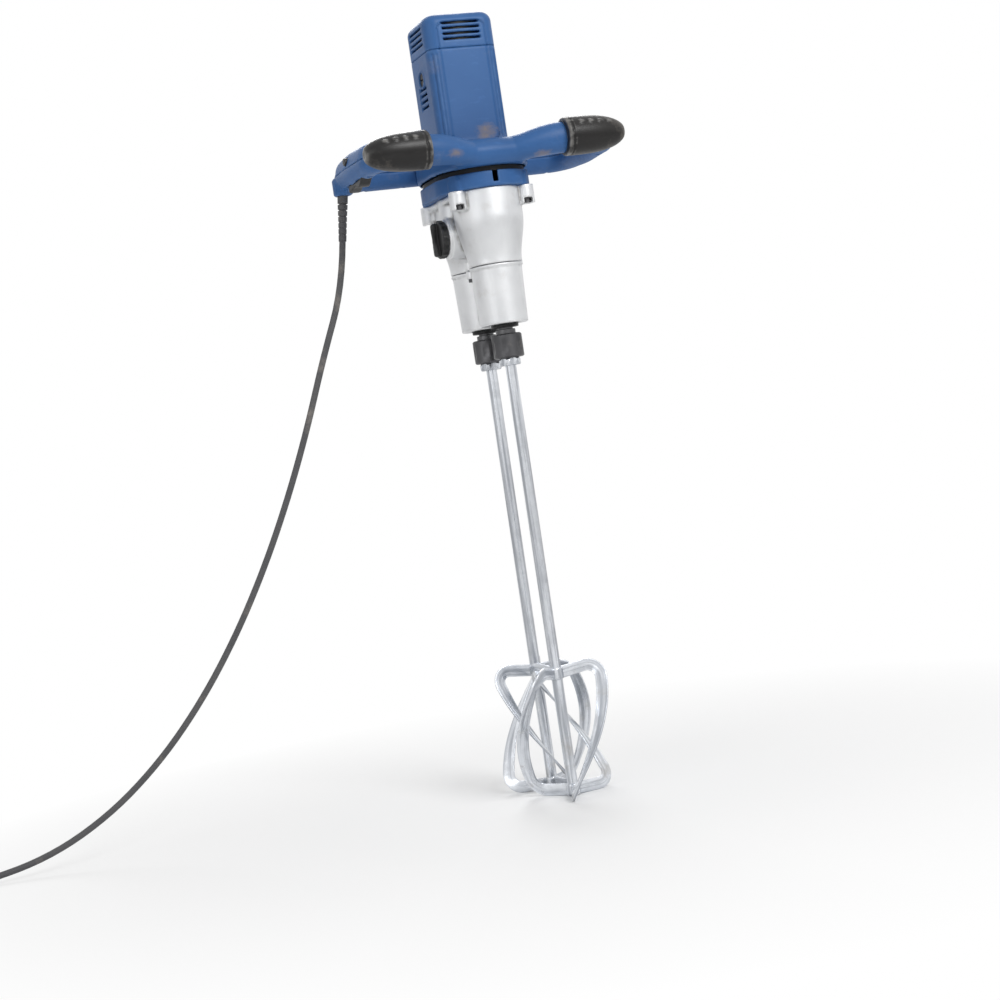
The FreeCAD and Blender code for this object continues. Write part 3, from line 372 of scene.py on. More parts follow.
def dress(piece, material, body, slot_name, *stood_for):
    """Gives a new piece its finish and its body, and hides the solids it stands for; slot_name is not used.
    """
    piece.data.materials.clear()
    piece.data.materials.append(material)
    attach(piece, body)
    if stood_for:
        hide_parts(*stood_for)
    return piece


cast_silver = make_cast_finish()
upper = sculpt("gear_case_upper_casting", upper_case, (-58, -88, parting), (60, 88, case_top), 1.7)
dress(upper, cast_silver, "machine", "cast_aluminium", "gear_case_upper")
lower = sculpt("gear_case_lower_casting", lower_case, (-38, -76, case_foot), (38, 76, parting), 1.7)
dress(lower, cast_silver, "machine", "cast_aluminium", "gear_case_lower")


# Output spindles: ground steel shafts that stick out below the case and take the paddle rods.
# They are turned, so each is a profile of radius and height carried round its axis.
spindles = (("front", -spindle_y), ("rear", spindle_y))
thread_round, thread_top, nose_round, shaft_round = 7.02, -243.9, 13.0, 10.0
nose_foot, nose_top, shaft_top = -270.0, -232.0, -51.0
lengthwise, round_about = (1, 1, 0.05), (0.05, 0.05, 1)


def steel_finish(name, colour, rough, streaks, grime=0.0):
    material, tree, shader, place = start_finish(name, metallic=1.0)
    cloud = noise(tree, place, 35, 4)
    base = layered(tree, colour, (ramp(tree, cloud, 0.35, 0.7), tuple(0.72 * c for c in colour)))
    if grime:
        film = dust(tree, place, grime, 22.0)
        base = layered(tree, base, (film, dust_colour))
        fill(tree, shader, Metallic=times(tree, 1.0, film, "SUBTRACT"))
    fill(tree, shader, Base_Color=base, Roughness=ramp(tree, cloud, 0.3, 0.7, rough - 0.07, rough + 0.09))
    relief(tree, shader, noise(tree, place, 900, 2, stretch=streaks), 0.00006)
    return material


def grid_faces(rows, columns, wrap_rows=False):
    """Quads of a grid whose columns close on themselves, and its rows too where asked."""
    last = rows if wrap_rows else rows - 1
    i, j = np.meshgrid(np.arange(last), np.arange(columns), indexing="ij")
    at = lambda a, b: (a % rows) * columns + b % columns
    return np.stack([at(i, j), at(i, j + 1), at(i + 1, j + 1), at(i + 1, j)], -1).reshape(-1, 4)


def close_up(piece, angle=32.0, bevel=0.0):
    """Merges poles, points faces outwards, marks sharp edges and rounds them a little."""
    work = bmesh.new()
    work.from_mesh(piece.data)
    bmesh.ops.remove_doubles(work, verts=work.verts, dist=1e-6)
    bmesh.ops.recalc_face_normals(work, faces=work.faces)
    work.to_mesh(piece.data)
    work.free()
    piece.data.set_sharp_from_angle(angle=math.radians(angle))
    if bevel:
        soft = piece.modifiers.new("edge", "BEVEL")
        soft.width = bevel * 0.001
        soft.segments = 2
        soft.limit_method = "ANGLE"
        soft.angle_limit = math.radians(angle)
        soft.harden_normals = True
    return piece


def full_turn(count):
    return np.linspace(0, 2 * np.pi, count, endpoint=False)


def carried_round(radius, level, y, turn):
    """Points of rows of radius and level at each angle about the upright axis through y."""
    return np.stack([radius * np.cos(turn), y + radius * np.sin(turn), level + 0 * turn], -1)


def turned(name, profile, y, bevel=0.5):
    """Rows of radius and height carried round an upright axis; rows of no radius are its poles."""
    profile = np.asarray(profile, float)
    points = carried_round(profile[:, :1], profile[:, 1:], y, full_turn(64))
    return close_up(put(name, points, grid_faces(len(profile), 64)), 32.0, bevel)


ground_steel = steel_finish("ground_steel", (0.56, 0.56, 0.57), 0.28, round_about)
oiled_steel = steel_finish("oiled_steel", (0.13, 0.13, 0.135), 0.34, round_about)
for side, y in spindles:
    outline = [(0, thread_top), (thread_round, thread_top), (thread_round, nose_foot),
               (nose_round, nose_foot), (nose_round, nose_top),
               (shaft_round, nose_top), (shaft_round, shaft_top), (0, shaft_top)]
    shaft = turned(side + "_output_spindle", outline, y)
    dress(shaft, oiled_steel, side + "_output", "machined_steel", side + "_spindle")


# Release sleeves: blackened steel collars that slide up the spindle nose against a spring.
# Six shallow finger flutes are milled round each, between a plain rim at the top and bottom.
sleeve_foot, sleeve_top, sleeve_round, sleeve_bore, sleeve_chamfer = -269.0, -238.0, 20.0, 13.06, 1.5
plain_rim, flute_rise, flute_depth = 4.0, 9.0, 1.2
black_steel = steel_finish("blackened_steel", (0.105, 0.105, 0.11), 0.42, lengthwise, 0.35)


def sleeve(name, y):
    height = np.linspace(sleeve_foot + sleeve_chamfer, sleeve_top - sleeve_chamfer, 23)
    share = smooth_step((np.minimum(height - sleeve_foot, sleeve_top - height) - plain_rim) / flute_rise)
    turn = full_turn(144)
    flute = np.clip(1 - (np.mod(turn * 3 / np.pi + 0.5, 1) - 0.5) ** 2 / 0.045, 0, 1)
    outer = sleeve_round - flute_depth * share[:, None] * flute[None, :]
    bore, rim = np.full((1, 144), sleeve_bore), np.full((1, 144), sleeve_round - sleeve_chamfer)
    radius = np.concatenate([bore, rim, outer, rim, bore])
    level = np.concatenate([[sleeve_foot] * 2, height, [sleeve_top] * 2])[:, None]
    return close_up(put(name, carried_round(radius, level, y, turn), grid_faces(len(level), 144, True)), 38.0)


for side, y in spindles:
    collar = sleeve(side + "_release_sleeve", y)
    dress(collar, black_steel, side + "_sleeve", "dark_steel", side + "_coupling")


# Lock nuts: zinc-plated hexagons that jam each paddle rod against its spindle.
# Both ends have the usual turned chamfer.
nut_across, nut_foot, nut_top, nut_chamfer = 26.0, -279.0, -270.0, 1.6


def zinc_finish(name, drawn_along=None):
    """Zinc over drawn steel, with dust dried on low down; the drawing lines run up the piece, or along the
    vector it carries by that name."""
    material, tree, shader, place = start_finish(name, metallic=1.0)
    run = place
    if drawn_along:
        carried = tree.nodes.new("ShaderNodeAttribute")
        carried.attribute_name = drawn_along
        run = carried.outputs["Vector"]
    cell = add(tree, "ShaderNodeTexVoronoi", Vector=place, Scale=150.0)
    spangle = add(tree, "ShaderNodeSeparateColor", Color=cell.outputs["Color"])
    cloud = noise(tree, place, 40, 4)
    drawn = noise(tree, run, 210, 3, stretch=(1, 1, 0.035))
    height = add(tree, "ShaderNodeSeparateXYZ", Vector=place).outputs["Z"]
    crust = times(tree, ramp(tree, height, -0.62, -0.85), dust(tree, place, 0.9, 30.0))
    base = layered(tree, (0.72, 0.745, 0.785), (spangle.outputs["Red"], (0.77, 0.795, 0.835)),
                   (ramp(tree, drawn, 0.42, 0.60, 0.0, 0.8), (0.33, 0.35, 0.385)),
                   (ramp(tree, cloud, 0.5, 0.75, 0.0, 0.5), (0.42, 0.44, 0.47)), (crust, (0.36, 0.33, 0.29)))
    shine = times(tree, ramp(tree, drawn, 0.35, 0.65, 0.20, 0.34), times(tree, crust, 0.4), "ADD")
    fill(tree, shader, Base_Color=base, Metallic=times(tree, 1.0, crust, "SUBTRACT"), Roughness=shine)
    relief(tree, shader, noise(tree, run, 700, 2, stretch=(1, 1, 0.06)), 0.00005)
    return material


def hex_nut(name, y):
    turn = full_turn(96)
    flat = nut_across / 2 / np.cos(np.mod(turn, np.pi / 3) - np.pi / 6)
    face = np.minimum(flat, nut_across / 2 * 1.02)
    bore = np.full(96, thread_round)
    radius = np.stack([bore, face, flat, flat, face, bore])
    level = np.array([nut_foot, nut_foot, nut_foot + nut_chamfer, nut_top - nut_chamfer, nut_top, nut_top])
    return close_up(put(name, carried_round(radius, level[:, None], y, turn), grid_faces(6, 96, True)), 25.0)


zinc_plate = zinc_finish("zinc_plate")
for side, y in spindles:
    dress(hex_nut(side + "_hex_nut", y), zinc_plate, side + "_output", "galvanised_steel", side + "_lock_nut")


# Paddle rods: round steel bars, zinc-plated and chamfered at the foot.
# The top of each is threaded and screws into its spindle's nose.
rod_radius, rod_foot, rod_chamfer, stub_round, stub_top = 7.2, -850.0, 1.0, 7.0, -244.0
for side, y in spindles:
    outline = [(0, rod_foot), (rod_radius - rod_chamfer, rod_foot), (rod_radius, rod_foot + rod_chamfer),
               (rod_radius, nut_foot), (stub_round, nut_foot), (stub_round, stub_top), (0, stub_top)]
    bar = turned(side + "_stirring_rod", outline, y, 0.3)
    dress(bar, zinc_plate, side + "_output", "galvanised_steel", side + "_paddle_rod")


# Paddle blades: flat steel strips on edge, welded to the rod at head and foot, bent down at a
# rounded shoulder and wound round the rod, right-handed in front and left-handed behind.
blade_reach, blade_width, blade_thick, blade_corner, blade_edge = 66.0, 16.0, 3.0, 18.0, 0.9
blade_top, blade_foot, blade_twist, arm_rise = -674.0, -850.0, 100.0, 5.0
weld_height, weld_swell, weld_ripple, weld_sink = 17.0, 2.6, 0.25, 0.4


def strip(hand, phase, y):
    """Strip's middle line in reach and height, its lean, then a rounded flat section carried along it.
    The lay is each corner's place across, through and along the strip. Both end poles lead the rows, so the
    head end stays open and a thin cone runs between the ends, hidden in the rod and its welds."""
    middle = blade_reach - blade_width / 2
    high, low = blade_top - blade_width / 2, blade_foot + blade_width / 2
    bend = np.radians(np.linspace(0, 90, 9))
    inner = middle - blade_corner
    root = rod_radius - 0.5
    reach = np.concatenate([np.linspace(root, inner, 5)[:-1], inner + blade_corner * np.sin(bend),
                            np.full(28, middle), inner + blade_corner * np.cos(bend),
                            np.linspace(inner, root, 5)[1:]])
    drop = np.linspace(high - blade_corner, low + blade_corner, 30)[1:-1]
    height = np.concatenate([np.linspace(high - arm_rise, high, 5)[:-1],
                             high - blade_corner * (1 - np.cos(bend)), drop,
                             low + blade_corner * (1 - np.sin(bend)), np.full(4, low)])
    lean = np.concatenate([np.zeros(4), bend, np.full(28, np.pi / 2), np.pi / 2 + bend, np.full(4, np.pi)])
    angle = np.radians(phase - hand * blade_twist * (high - height) / (high - low))
    out = np.stack([np.cos(angle), np.sin(angle), 0 * angle], 1)
    across = np.stack([-np.sin(angle), np.cos(angle), 0 * angle], 1)
    side = out * np.sin(lean)[:, None] + np.array([0, 0, 1.0]) * np.cos(lean)[:, None]
    centre = out * reach[:, None] + np.stack([0 * height, 0 * height + y, height], 1)
    rim = np.radians(np.arange(0, 360, 22.5) + 11.25)
    wide = (blade_width / 2 - blade_edge) * np.sign(np.cos(rim)) + blade_edge * np.cos(rim)
    thick = (blade_thick / 2 - blade_edge) * np.sign(np.sin(rim)) + blade_edge * np.sin(rim)
    points = centre[:, None] + side[:, None] * wide[None, :, None] + across[:, None] * thick[None, :, None]
    pole = lambda row: row.mean(1, keepdims=True).repeat(len(rim), 1)
    rows = np.concatenate([pole(points[-1:]), pole(points[:1]), points[::-1]])
    length = np.cumsum(np.linalg.norm(np.diff(centre, axis=0, prepend=centre[:1]), axis=1))[::-1]
    length = np.concatenate([length[:1], length, length[-1:]])[:, None] + 10.0 * phase
    lay = np.stack(np.broadcast_arrays(wide[None, :], thick[None, :], length), -1)
    return rows, grid_faces(len(rows), len(rim)), lay


def weld_bead(y, low):
    """Collar of weld round the rod: a ring whose radius ripples as the bead was laid."""
    level = np.linspace(low, low + weld_height, 15)
    turn = full_turn(48)
    swell = np.sqrt(np.clip(1 - (2 * (level - low) / weld_height - 1) ** 6, 0, 1))
    ripple = weld_ripple * np.sin(9 * turn)[None, :] * np.sin(level * 1.9)[:, None]
    radius = rod_radius - weld_sink + swell[:, None] * (weld_swell + ripple)
    points = carried_round(radius, level[:, None], y, turn)
    return points, grid_faces(15, 48), points


def paddle(name, hand, phase, y):
    parts = [strip(hand, phase + 120.0 * k, y) for k in range(3)]
    parts += [weld_bead(y, blade_top - arm_rise - weld_height), weld_bead(y, blade_foot)]
    points = [part[0].reshape(-1, 3) for part in parts]
    starts = np.cumsum([0] + [len(rows) for rows in points])
    faces = np.concatenate([part[1] + start for part, start in zip(parts, starts)])
    piece = put(name, np.concatenate(points), faces)
    lay = np.concatenate([part[2].reshape(-1, 3) for part in parts]) * 0.001
    carried = piece.data.attributes.new("lay", "FLOAT_VECTOR", "POINT")
    carried.data.foreach_set("vector", lay.astype(np.float32).ravel())
    return close_up(piece, 50.0)


zinc_strip = zinc_finish("zinc_strip", "lay")
for (side, y), hand, phase in zip(spindles, (1, -1), (-12.0, 62.0)):
    blades = paddle(side + "_mixing_blades", hand, phase, y)
    dress(blades, zinc_strip, side + "_output", "galvanised_steel", side + "_paddle_blades")


# Skirt: a blue moulded ring over the first reduction, screwed down on the case lugs.
# The glass-filled nylon has a fine spark-eroded grain, with dust and a few smears rubbed into it.
skirt_top, body_round, body_offset = -30.0, 66.0, 24.0
skirt_round, skirt_hollow, gear_opening, lug_pad, screw_post, skirt_slot = 64.0, 60.0, 40.3, 10.0, 7.0, 3.6
smear_colour = (0.27, 0.205, 0.145)


def smear(tree, place, centre, reach):
    """Where something was wiped on: |(p - centre) / reach| is 0 at its middle and 1 where it ends, by its
    half sizes along each axis, and noise breaks it up."""
    away = place
    for how, values in (("SUBTRACT", centre), ("DIVIDE", reach), ("LENGTH", None)):
        step = tree.nodes.new("ShaderNodeVectorMath")
        step.operation = how
        feed(tree, away, step.inputs[0])
        if values:
            feed(tree, values, step.inputs[1])
        away = step.outputs["Value" if how == "LENGTH" else "Vector"]
    near = ramp(tree, away, 0.2, 1.0, 1.0, 0.0)
    cloud = times(tree, noise(tree, place, 150, 6, stretch=(0.6, 0.6, 1), rough=0.7), 1.5)
    return ramp(tree, times(tree, near, cloud, "ADD"), 1.15, 1.85, 0.0, 0.68)


def moulded_finish(name, colour, deep, pale, dusty, pale_amount, rough, grain_depth=0.00007, smears=()):
    """Grained plastic or rubber; pale is its colour on outer edges, wear on the plastics and a painted
    highlight on the rubber's pads.
    """
    material, tree, shader, place = start_finish(name, specular=0.3)
    cloud = noise(tree, place, 9, 4)
    scuff = noise(tree, place, 130, 4, stretch=(0.35, 1, 1), rough=0.65)
    lighter = tuple(min(1.0, 1.35 * c + 0.012) for c in colour)
    # Outer edges go pale as wear, and on the rubber's pads as a painted highlight; hollows go dark as painted
    # shade.
    pale_edge, hollow_shade = edge_masks(tree, place, pale_amount, 0.8)
    film = dust(tree, place, dusty, 16.0)
    base = layered(tree, colour, (ramp(tree, cloud, 0.35, 0.68), deep),
                   (ramp(tree, scuff, 0.58, 0.78, 0.0, 0.45), lighter), (pale_edge, pale),
                   (hollow_shade, tuple(0.3 * c for c in deep)), (film, dust_colour),
                   *((smear(tree, place, *spot), smear_colour) for spot in smears))
    dull = ramp(tree, cloud, 0.3, 0.7, rough - 0.05, rough + 0.05)
    dull = times(tree, dull, times(tree, film, 0.35), "ADD")
    fill(tree, shader, Base_Color=base, Roughness=dull)
    relief(tree, shader, noise(tree, place, 2100, 2), grain_depth)
    return material


blue_smears = (((0.015, -0.040, 0.028), (0.025, 0.020, 0.020)),
               ((-0.060, -0.112, -0.008), (0.021, 0.016, 0.011)),
               ((0.062, -0.104, -0.018), (0.022, 0.018, 0.011)))
blue_nylon = moulded_finish("blue_nylon", (0.036, 0.121, 0.318), (0.027, 0.098, 0.268), (0.11, 0.22, 0.44),
                            dusty=0.30, pale_amount=0.4, rough=0.46, smears=blue_smears)


def stadium_outline(p, radius):
    return np.hypot(p[:, 0], np.maximum(np.abs(p[:, 1]) - body_offset, 0)) - radius


def skirt_ring(p):
    z = p[:, 2]
    far = folded(p)
    wall = extruded(stadium_outline(p, skirt_round), z, case_top, skirt_top, 1.4)
    pad = post(far, lug_x - 1.0, lug_y - 1.0, lug_pad, case_top, skirt_top - 5.0, 1.5)
    wall = joined(wall, kept_within(pad, stadium_outline(p, body_round), 2.0), 3.0)
    wall = cut_away(wall, extruded(stadium_outline(p, skirt_hollow), z, -47.0, -25.0, 0.5), 0.5)
    for hole in (post(far, 0, spindle_y, gear_opening, -60.0, -40.0, 0.3),
                 slab(p, (-32, -14, -60), (14, 14, -40), 0.3),
                 post(p, counter_x, counter_y, counter_room, -60.0, -40.0, 0.3)):
        wall = cut_away(wall, hole, 0.4)
    wall = joined(wall, post(far, lug_x, lug_y, screw_post, case_top, skirt_top, 0.5), 1.5)
    wall = kept_within(wall, stadium_outline(p, body_round), 0.8)
    slot = slab(p, (-skirt_slot, -92, -44.5), (skirt_slot, -83.0, skirt_top + 2), 0.4)
    return cut_away(wall, slot, 0.6)


skirt = sculpt("skirt", skirt_ring, (-68, -92, case_top), (68, 92, skirt_top), 1.7)
dress(skirt, blue_nylon, "machine", "blue_shell", "skirt_ring")


# Bearing plate: the plate between skirt and motor body, seen as a groove all round; its black also stands in
# for the shade in that groove, a painted shade.
# It stays the turned and milled solid, in black nylon.
black_nylon = moulded_finish("black_nylon", (0.013, 0.013, 0.014), (0.009, 0.009, 0.0095),
                             (0.06, 0.06, 0.062), dusty=0.3, pale_amount=0.6, rough=0.42)


def finish_node(node, material):
    shown = nodes[node]
    shown.data.materials.clear()
    shown.data.materials.append(material)


# The black here is partly a painted shade for the groove.
finish_node("bearing_plate", black_nylon)


# Seal lips: black rubber rings pressed into the foot of the case.
# Their lips stand out below it, close round each spindle.
lip_inner, lip_outer, lip_foot, lip_top = 10.6, 18.0, -229.3, case_foot + 1.0


def ring(name, y, inner, outer, foot, top):
    """Plain ring about an upright axis on the middle plane."""
    radius, level = np.array([[outer], [outer], [inner], [inner]]), np.array([[foot], [top], [top], [foot]])
    points = carried_round(radius, level, y, full_turn(72))
    return close_up(put(name, points, grid_faces(4, 72, True)), 32.0, 0.5)


for side, y in spindles:
    lip = ring(side + "_seal_lip", y, lip_inner, lip_outer, lip_foot, lip_top)
    dress(lip, black_nylon, "machine", "black_plastic")


# Motor housing: one blue moulding with a rounded foot, a tall motor tower and a saddle bar in front and
# behind whose arms sweep out to the handles. A panel line runs round the tower's flat face.
body_foot, body_top = -24.0, 4.0
tower_wide, tower_deep, tower_round, tower_y, tower_top = 48.0, 47.0, 18.0, 8.0, 140.0
panel_middle, panel_wide, panel_tall, panel_round = 95.0, 33.0, 79.0, 11.0
bar_front, bar_rear, bar_wide, bar_tall = -104.0, 66.0, 17.0, 20.0
saddle_end, rear_saddle_end = 96.0, 50.0
front_neck_y, rear_neck_y = -86.0, 62.0
brush_z, brush_seat, brush_boss, motor_bore, body_hollow = 110.0, 9.4, 12.0, 43.0, 62.0
vent_foot, vent_pitch, vent_slot, vent_half = 72.0, 8.0, 3.6, 15.0


def rounded_outline(x, y, half_x, half_y, corner):
    gap_x, gap_y = np.abs(x) - half_x + corner, np.abs(y) - half_y + corner
    outside = np.hypot(np.maximum(gap_x, 0), np.maximum(gap_y, 0))
    return outside + np.minimum(np.maximum(gap_x, gap_y), 0) - corner


def tower_outline(p):
    return rounded_outline(p[:, 0], p[:, 1] - tower_y, tower_wide, tower_deep, tower_round)


def panel_groove(p, width, depth):
    """A line cut round a rounded panel on the tower's front and back, where the skin is flat."""
    x, y, z = p.T
    frame_line = np.abs(rounded_outline(x, z - panel_middle, panel_wide, panel_tall, panel_round)) - width / 2
    return np.maximum(frame_line, tower_deep - depth - np.abs(y - tower_y))


def saddle(p, loop_y, neck_y, end, neck, dip):
    """Bar along x whose oval section moves from the loop's line to a lower, flatter neck: with
    s = ((end - |x|) / (end - neck))^2, held at 1 inside the neck, each measure changes by its share s."""
    x, y, z = p.T
    share = np.clip((end - np.abs(x)) / (end - neck), 0, 1) ** 2
    half_wide, half_tall = bar_wide + 3.0 * share, bar_tall - 5.0 * share
    across = y - loop_y - (neck_y - loop_y) * share
    bar = np.hypot(across, (z + dip * share) * half_wide / half_tall) - half_wide
    return np.maximum(bar, np.abs(x) - end)


def front_saddle(p):
    return saddle(p, bar_front, front_neck_y, saddle_end, 26.0, 8.0)


def body_skin(p):
    """Outside of the housing before anything is cut from it."""
    z = p[:, 2]
    foot = extruded(stadium_outline(p, body_round), z, body_foot, body_top, 6.0)
    tower = extruded(tower_outline(p), z, -20.0, tower_top, 0.8)
    shape = joined(joined(foot, tower, 20.0), front_saddle(p), 24.0)
    shape = joined(shape, saddle(p, bar_rear, rear_neck_y, rear_saddle_end, 18.0, 5.0), 10.0)
    shape = kept_within(shape, body_foot + 0.25 - z, 1.5)
    return kept_within(shape, z - tower_top, 0.8)


def motor_body(p):
    x, y, z = p.T
    far = np.stack([np.abs(x), y, z], 1)
    shape = kept_within(body_skin(p), np.abs(x) - saddle_end, 0.8)
    shape = cut_away(shape, panel_groove(p, 1.8, 2.0), 0.8)
    rib_line = np.minimum(slab(far, (36.6, -60, body_top + 16), (38.4, -30, tower_top - 6), 0.4),
                          slab(far, (41.2, -60, body_top + 18), (43.0, -24, tower_top - 6), 0.4))
    shape = cut_away(shape, np.maximum(rib_line, -1.5 - tower_outline(p)), 0.7)
    for level in vent_foot + vent_pitch * np.arange(4):
        vent = slab(far, (36, tower_y - vent_half, level), (60, tower_y + vent_half, level + vent_slot), 1.5)
        shape = cut_away(shape, vent, 0.8)
    cap_seat = cross_post(far, tower_y, brush_z, brush_seat, 38.0, 60.0, 0.3)
    shape = joined(shape, cross_post(far, tower_y, brush_z, brush_boss, 38.0, 49.0, 0.6), 1.2)
    shape = cut_away(shape, cap_seat, 0.5)
    inside = extruded(stadium_outline(p, body_hollow), z, -32.0, 0.0, 1.0)
    inside = np.minimum(inside, post(p, 0, tower_y, motor_bore, -20.0, 160.0))
    return cut_away(shape, inside, 0.8)


housing = sculpt("motor_body", motor_body, (-97, -124, body_foot), (97, 92, tower_top), 2.0)
dress(housing, blue_nylon, "machine", "blue_shell", "motor_housing")


# Motor cap: the blue end cover over the upper bearing, slotted all round for cooling air.
# Four slotted screws hold it down, sunk in its top.
cap_top, cap_screw, screw_seat = 186.0, 28.5, 183.2
slot_rise, slot_pitch, slot_tall, slot_reach = 10.0, 7.0, 3.3, 26.0
head_round, head_hole, seat_round, seat_bore = 3.7, 4.4, 14.0, 11.0


def end_cover(p):
    z = p[:, 2]
    corner = folded(p, tower_y)
    shape = np.minimum(extruded(tower_outline(p), z, tower_top, cap_top, 13.0),
                       extruded(tower_outline(p), z, tower_top, cap_top - 16.0, 0.8))
    for low in tower_top + slot_rise + slot_pitch * np.arange(4):
        high = low + slot_tall
        slot = np.minimum(slab(corner, (30, -slot_reach, low), (60, slot_reach, high), 1.4),
                          slab(corner, (-slot_reach, 30, low), (slot_reach, 60, high), 1.4))
        shape = cut_away(shape, slot, 0.8)
    shape = cut_away(shape, panel_groove(p, 1.6, 1.8), 0.8)
    shape = cut_away(shape, post(corner, cap_screw, cap_screw, head_hole, screw_seat, 200.0, 0.3), 0.6)
    shape = cut_away(shape, post(p, 0, tower_y, motor_bore, 100.0, 182.0, 3.0), 0.8)
    seat = post(p, 0, tower_y, seat_round, 164.0, 183.0)
    return np.minimum(shape, np.maximum(seat, -post(p, 0, tower_y, seat_bore, 100.0, 181.0)))


def cap_screws(p):
    corner = folded(p, tower_y)
    head = post(corner, cap_screw, cap_screw, head_round, screw_seat - 1.0, screw_seat + 1.6, 0.6)
    driver = slab(corner, (20, cap_screw - 0.6, screw_seat + 0.6), (40, cap_screw + 0.6, 190.0), 0.1)
    return cut_away(head, driver, 0.2)


cover = sculpt("motor_end_cover", end_cover, (-50, -41, tower_top), (50, 57, cap_top), 2.0)
dress(cover, blue_nylon, "machine", "blue_shell", "motor_cap")
heads = sculpt("cap_screw_heads", cap_screws, (-34, -27, screw_seat - 1), (34, 43, screw_seat + 2), 0.7)
dress(heads, ground_steel, "machine", "machined_steel")
for node in ("brush_caps", "switch_module"):
    finish_node(node, black_nylon)


# Slot shade ring: a plain black ring that lines the end cover behind its slots.
# It is a dark sheet that keeps the slots dark, a painted shade.
slot_shade_ring = ring("slot_shade_ring", tower_y, motor_bore - 1.4, motor_bore - 0.2, tower_top + 1.0, 178.5)
dress(slot_shade_ring, black_nylon, "machine", "black_plastic")


# Loop handles: half shells, split at mid height, that make a closed grip on each side.
# The trigger side has a slot below for the trigger and a boss for the lead.
loop_half_x, loop_middle, loop_half_y, loop_corner = 158.0, -19.0, 85.0, 34.0
grip_screws = ((loop_half_x, -62.0), (132.0, bar_rear), (78.0, bar_rear))
relief_x, relief_y, relief_foot = -164.0, 58.0, -24.0
button_y, button_z = -20.0, 8.0
grip_swell, swell_middle, swell_reach = 1.6, -12.0, 34.0
screw_hole, relief_boss, relief_hole, button_hole = 3.8, 11.5, 7.05, 5.1
trigger_slot, switch_room = ((-166, -51, -40), (-150, 21.5, 3.0)), ((-167, -46, 2.5), (-149, 20, 14.0))
sides = (("right", -1), ("left", 1))


def loop_bar(p):
    """Distance to a bar of oval section that follows a rounded rectangle at grip height."""
    x, y, z = p.T
    away = np.abs(rounded_outline(x, y - loop_middle, loop_half_x, loop_half_y, loop_corner))
    swell = grip_swell * np.exp(-((y - swell_middle) / swell_reach) ** 2) * (np.abs(x) > 100)
    return np.hypot(away, z * bar_wide / bar_tall) - bar_wide - swell


def handle(p, side):
    """One loop handle, cut where it meets the body; side is minus one for the trigger side."""
    x, y = p[:, 0], p[:, 1]
    shape = kept_within(loop_bar(p), np.where(y > -40.0, rear_saddle_end, saddle_end) + 0.3 - side * x, 0.8)
    shape = cut_away(shape, body_skin(p), 0.8)
    for along, back in grip_screws:
        shape = cut_away(shape, post(p, side * along, back, screw_hole, -40.0, -11.0, 0.3), 0.6)
    if side < 0:
        shape = joined(shape, post(p, relief_x, relief_y, relief_boss, relief_foot, -1.0, 3.5), 9.0)
        shape = cut_away(shape, post(p, relief_x, relief_y, relief_hole, -40.0, -8.0, 0.3), 0.6)
        shape = cut_away(shape, slab(p, *trigger_slot, 1.0), 0.8)
        shape = cut_away(shape, slab(p, *switch_room, 0.5), 0.4)
        shape = cut_away(shape, cross_post(p, button_y, button_z, button_hole, -190.0, -166.0, 0.3), 0.5)
    return shape


for label, side in sides:
    low_x, high_x = sorted((side * 28, side * 178))
    for half, sign, low_z, high_z in (("upper", 1, 0, 24), ("lower", -1, -26, 0)):
        shell = lambda p: kept_within(handle(p, side), 0.12 - sign * p[:, 2], 0.9)
        piece = sculpt(label + "_grip_" + half, shell, (low_x, -124, low_z), (high_x, 86, high_z), 2.0)
        dress(piece, blue_nylon, "machine", "blue_shell", label + "_handle_" + half)


# Rubber corners: black overmoulded bumpers on the front corners, that the machine is stood on.
# Each has a row of raised pads over its front, painted pale as highlights, and a groove at its inner rim.
rubber_y, rubber_round, rubber_start, rubber_long, rubber_blunt = -108.0, 24.8, 95.0, 83.5, 3.2
rubber_inner, rubber_outer, rim_line = 92.0, 176.0, 98.5
pad_start, pad_pitch, pad_lean = 112.0, 13.0, math.radians(36.0)
pad_size, pad_stretch, pad_flat, pad_sink = 4.4, 1.3, 0.75, 1.9
# The pale edge colour here is a painted highlight on the pads and on the rim groove's edges.
rubber = moulded_finish("black_rubber", (0.011, 0.0108, 0.0108), (0.017, 0.0155, 0.015), (0.36, 0.35, 0.335),
                        dusty=0.4, pale_amount=0.8, rough=0.33, grain_depth=0.00008)


def corner_rubber(p):
    """Turned outline about the loop's front line, of radius R sqrt(1 - t^n) at the share t of its length,
    with a row of raised oval pads: one pad copied by folding the length, at pad_lean up from the front."""
    x, y, z = p.T
    wide = np.abs(x)
    share = np.clip((wide - rubber_start) / rubber_long, 0, 0.99)
    around = rubber_round * np.sqrt(1 - share ** rubber_blunt)
    away = np.hypot(y - rubber_y, z) - around
    shape = extruded(away, wide, rubber_inner, rubber_outer, 2.5) * 0.93
    rim = np.maximum(np.abs(wide - rim_line) - 1.0, -0.9 - away)
    shape = cut_away(shape, rim, 0.6)
    arc = around * (np.arctan2(z, rubber_y - y) - pad_lean)
    along = wide - pad_start - pad_pitch * np.clip(np.round((wide - pad_start) / pad_pitch), 0, 3)
    pad = np.sqrt((along / pad_stretch) ** 2 + arc ** 2 + ((away + pad_sink) / pad_flat) ** 2) - pad_size
    shape = joined(shape, pad * 0.8, 1.0)
    return np.maximum(shape, -np.minimum(loop_bar(p), front_saddle(p)) - 0.05)


for label, side in sides:
    low_x, high_x = sorted((side * 90, side * 178))
    corner = sculpt(label + "_corner_rubber", corner_rubber, (low_x, -137, -29), (high_x, -78, 29), 1.2)
    dress(corner, rubber, "machine", "black_rubber", label + "_bumper")


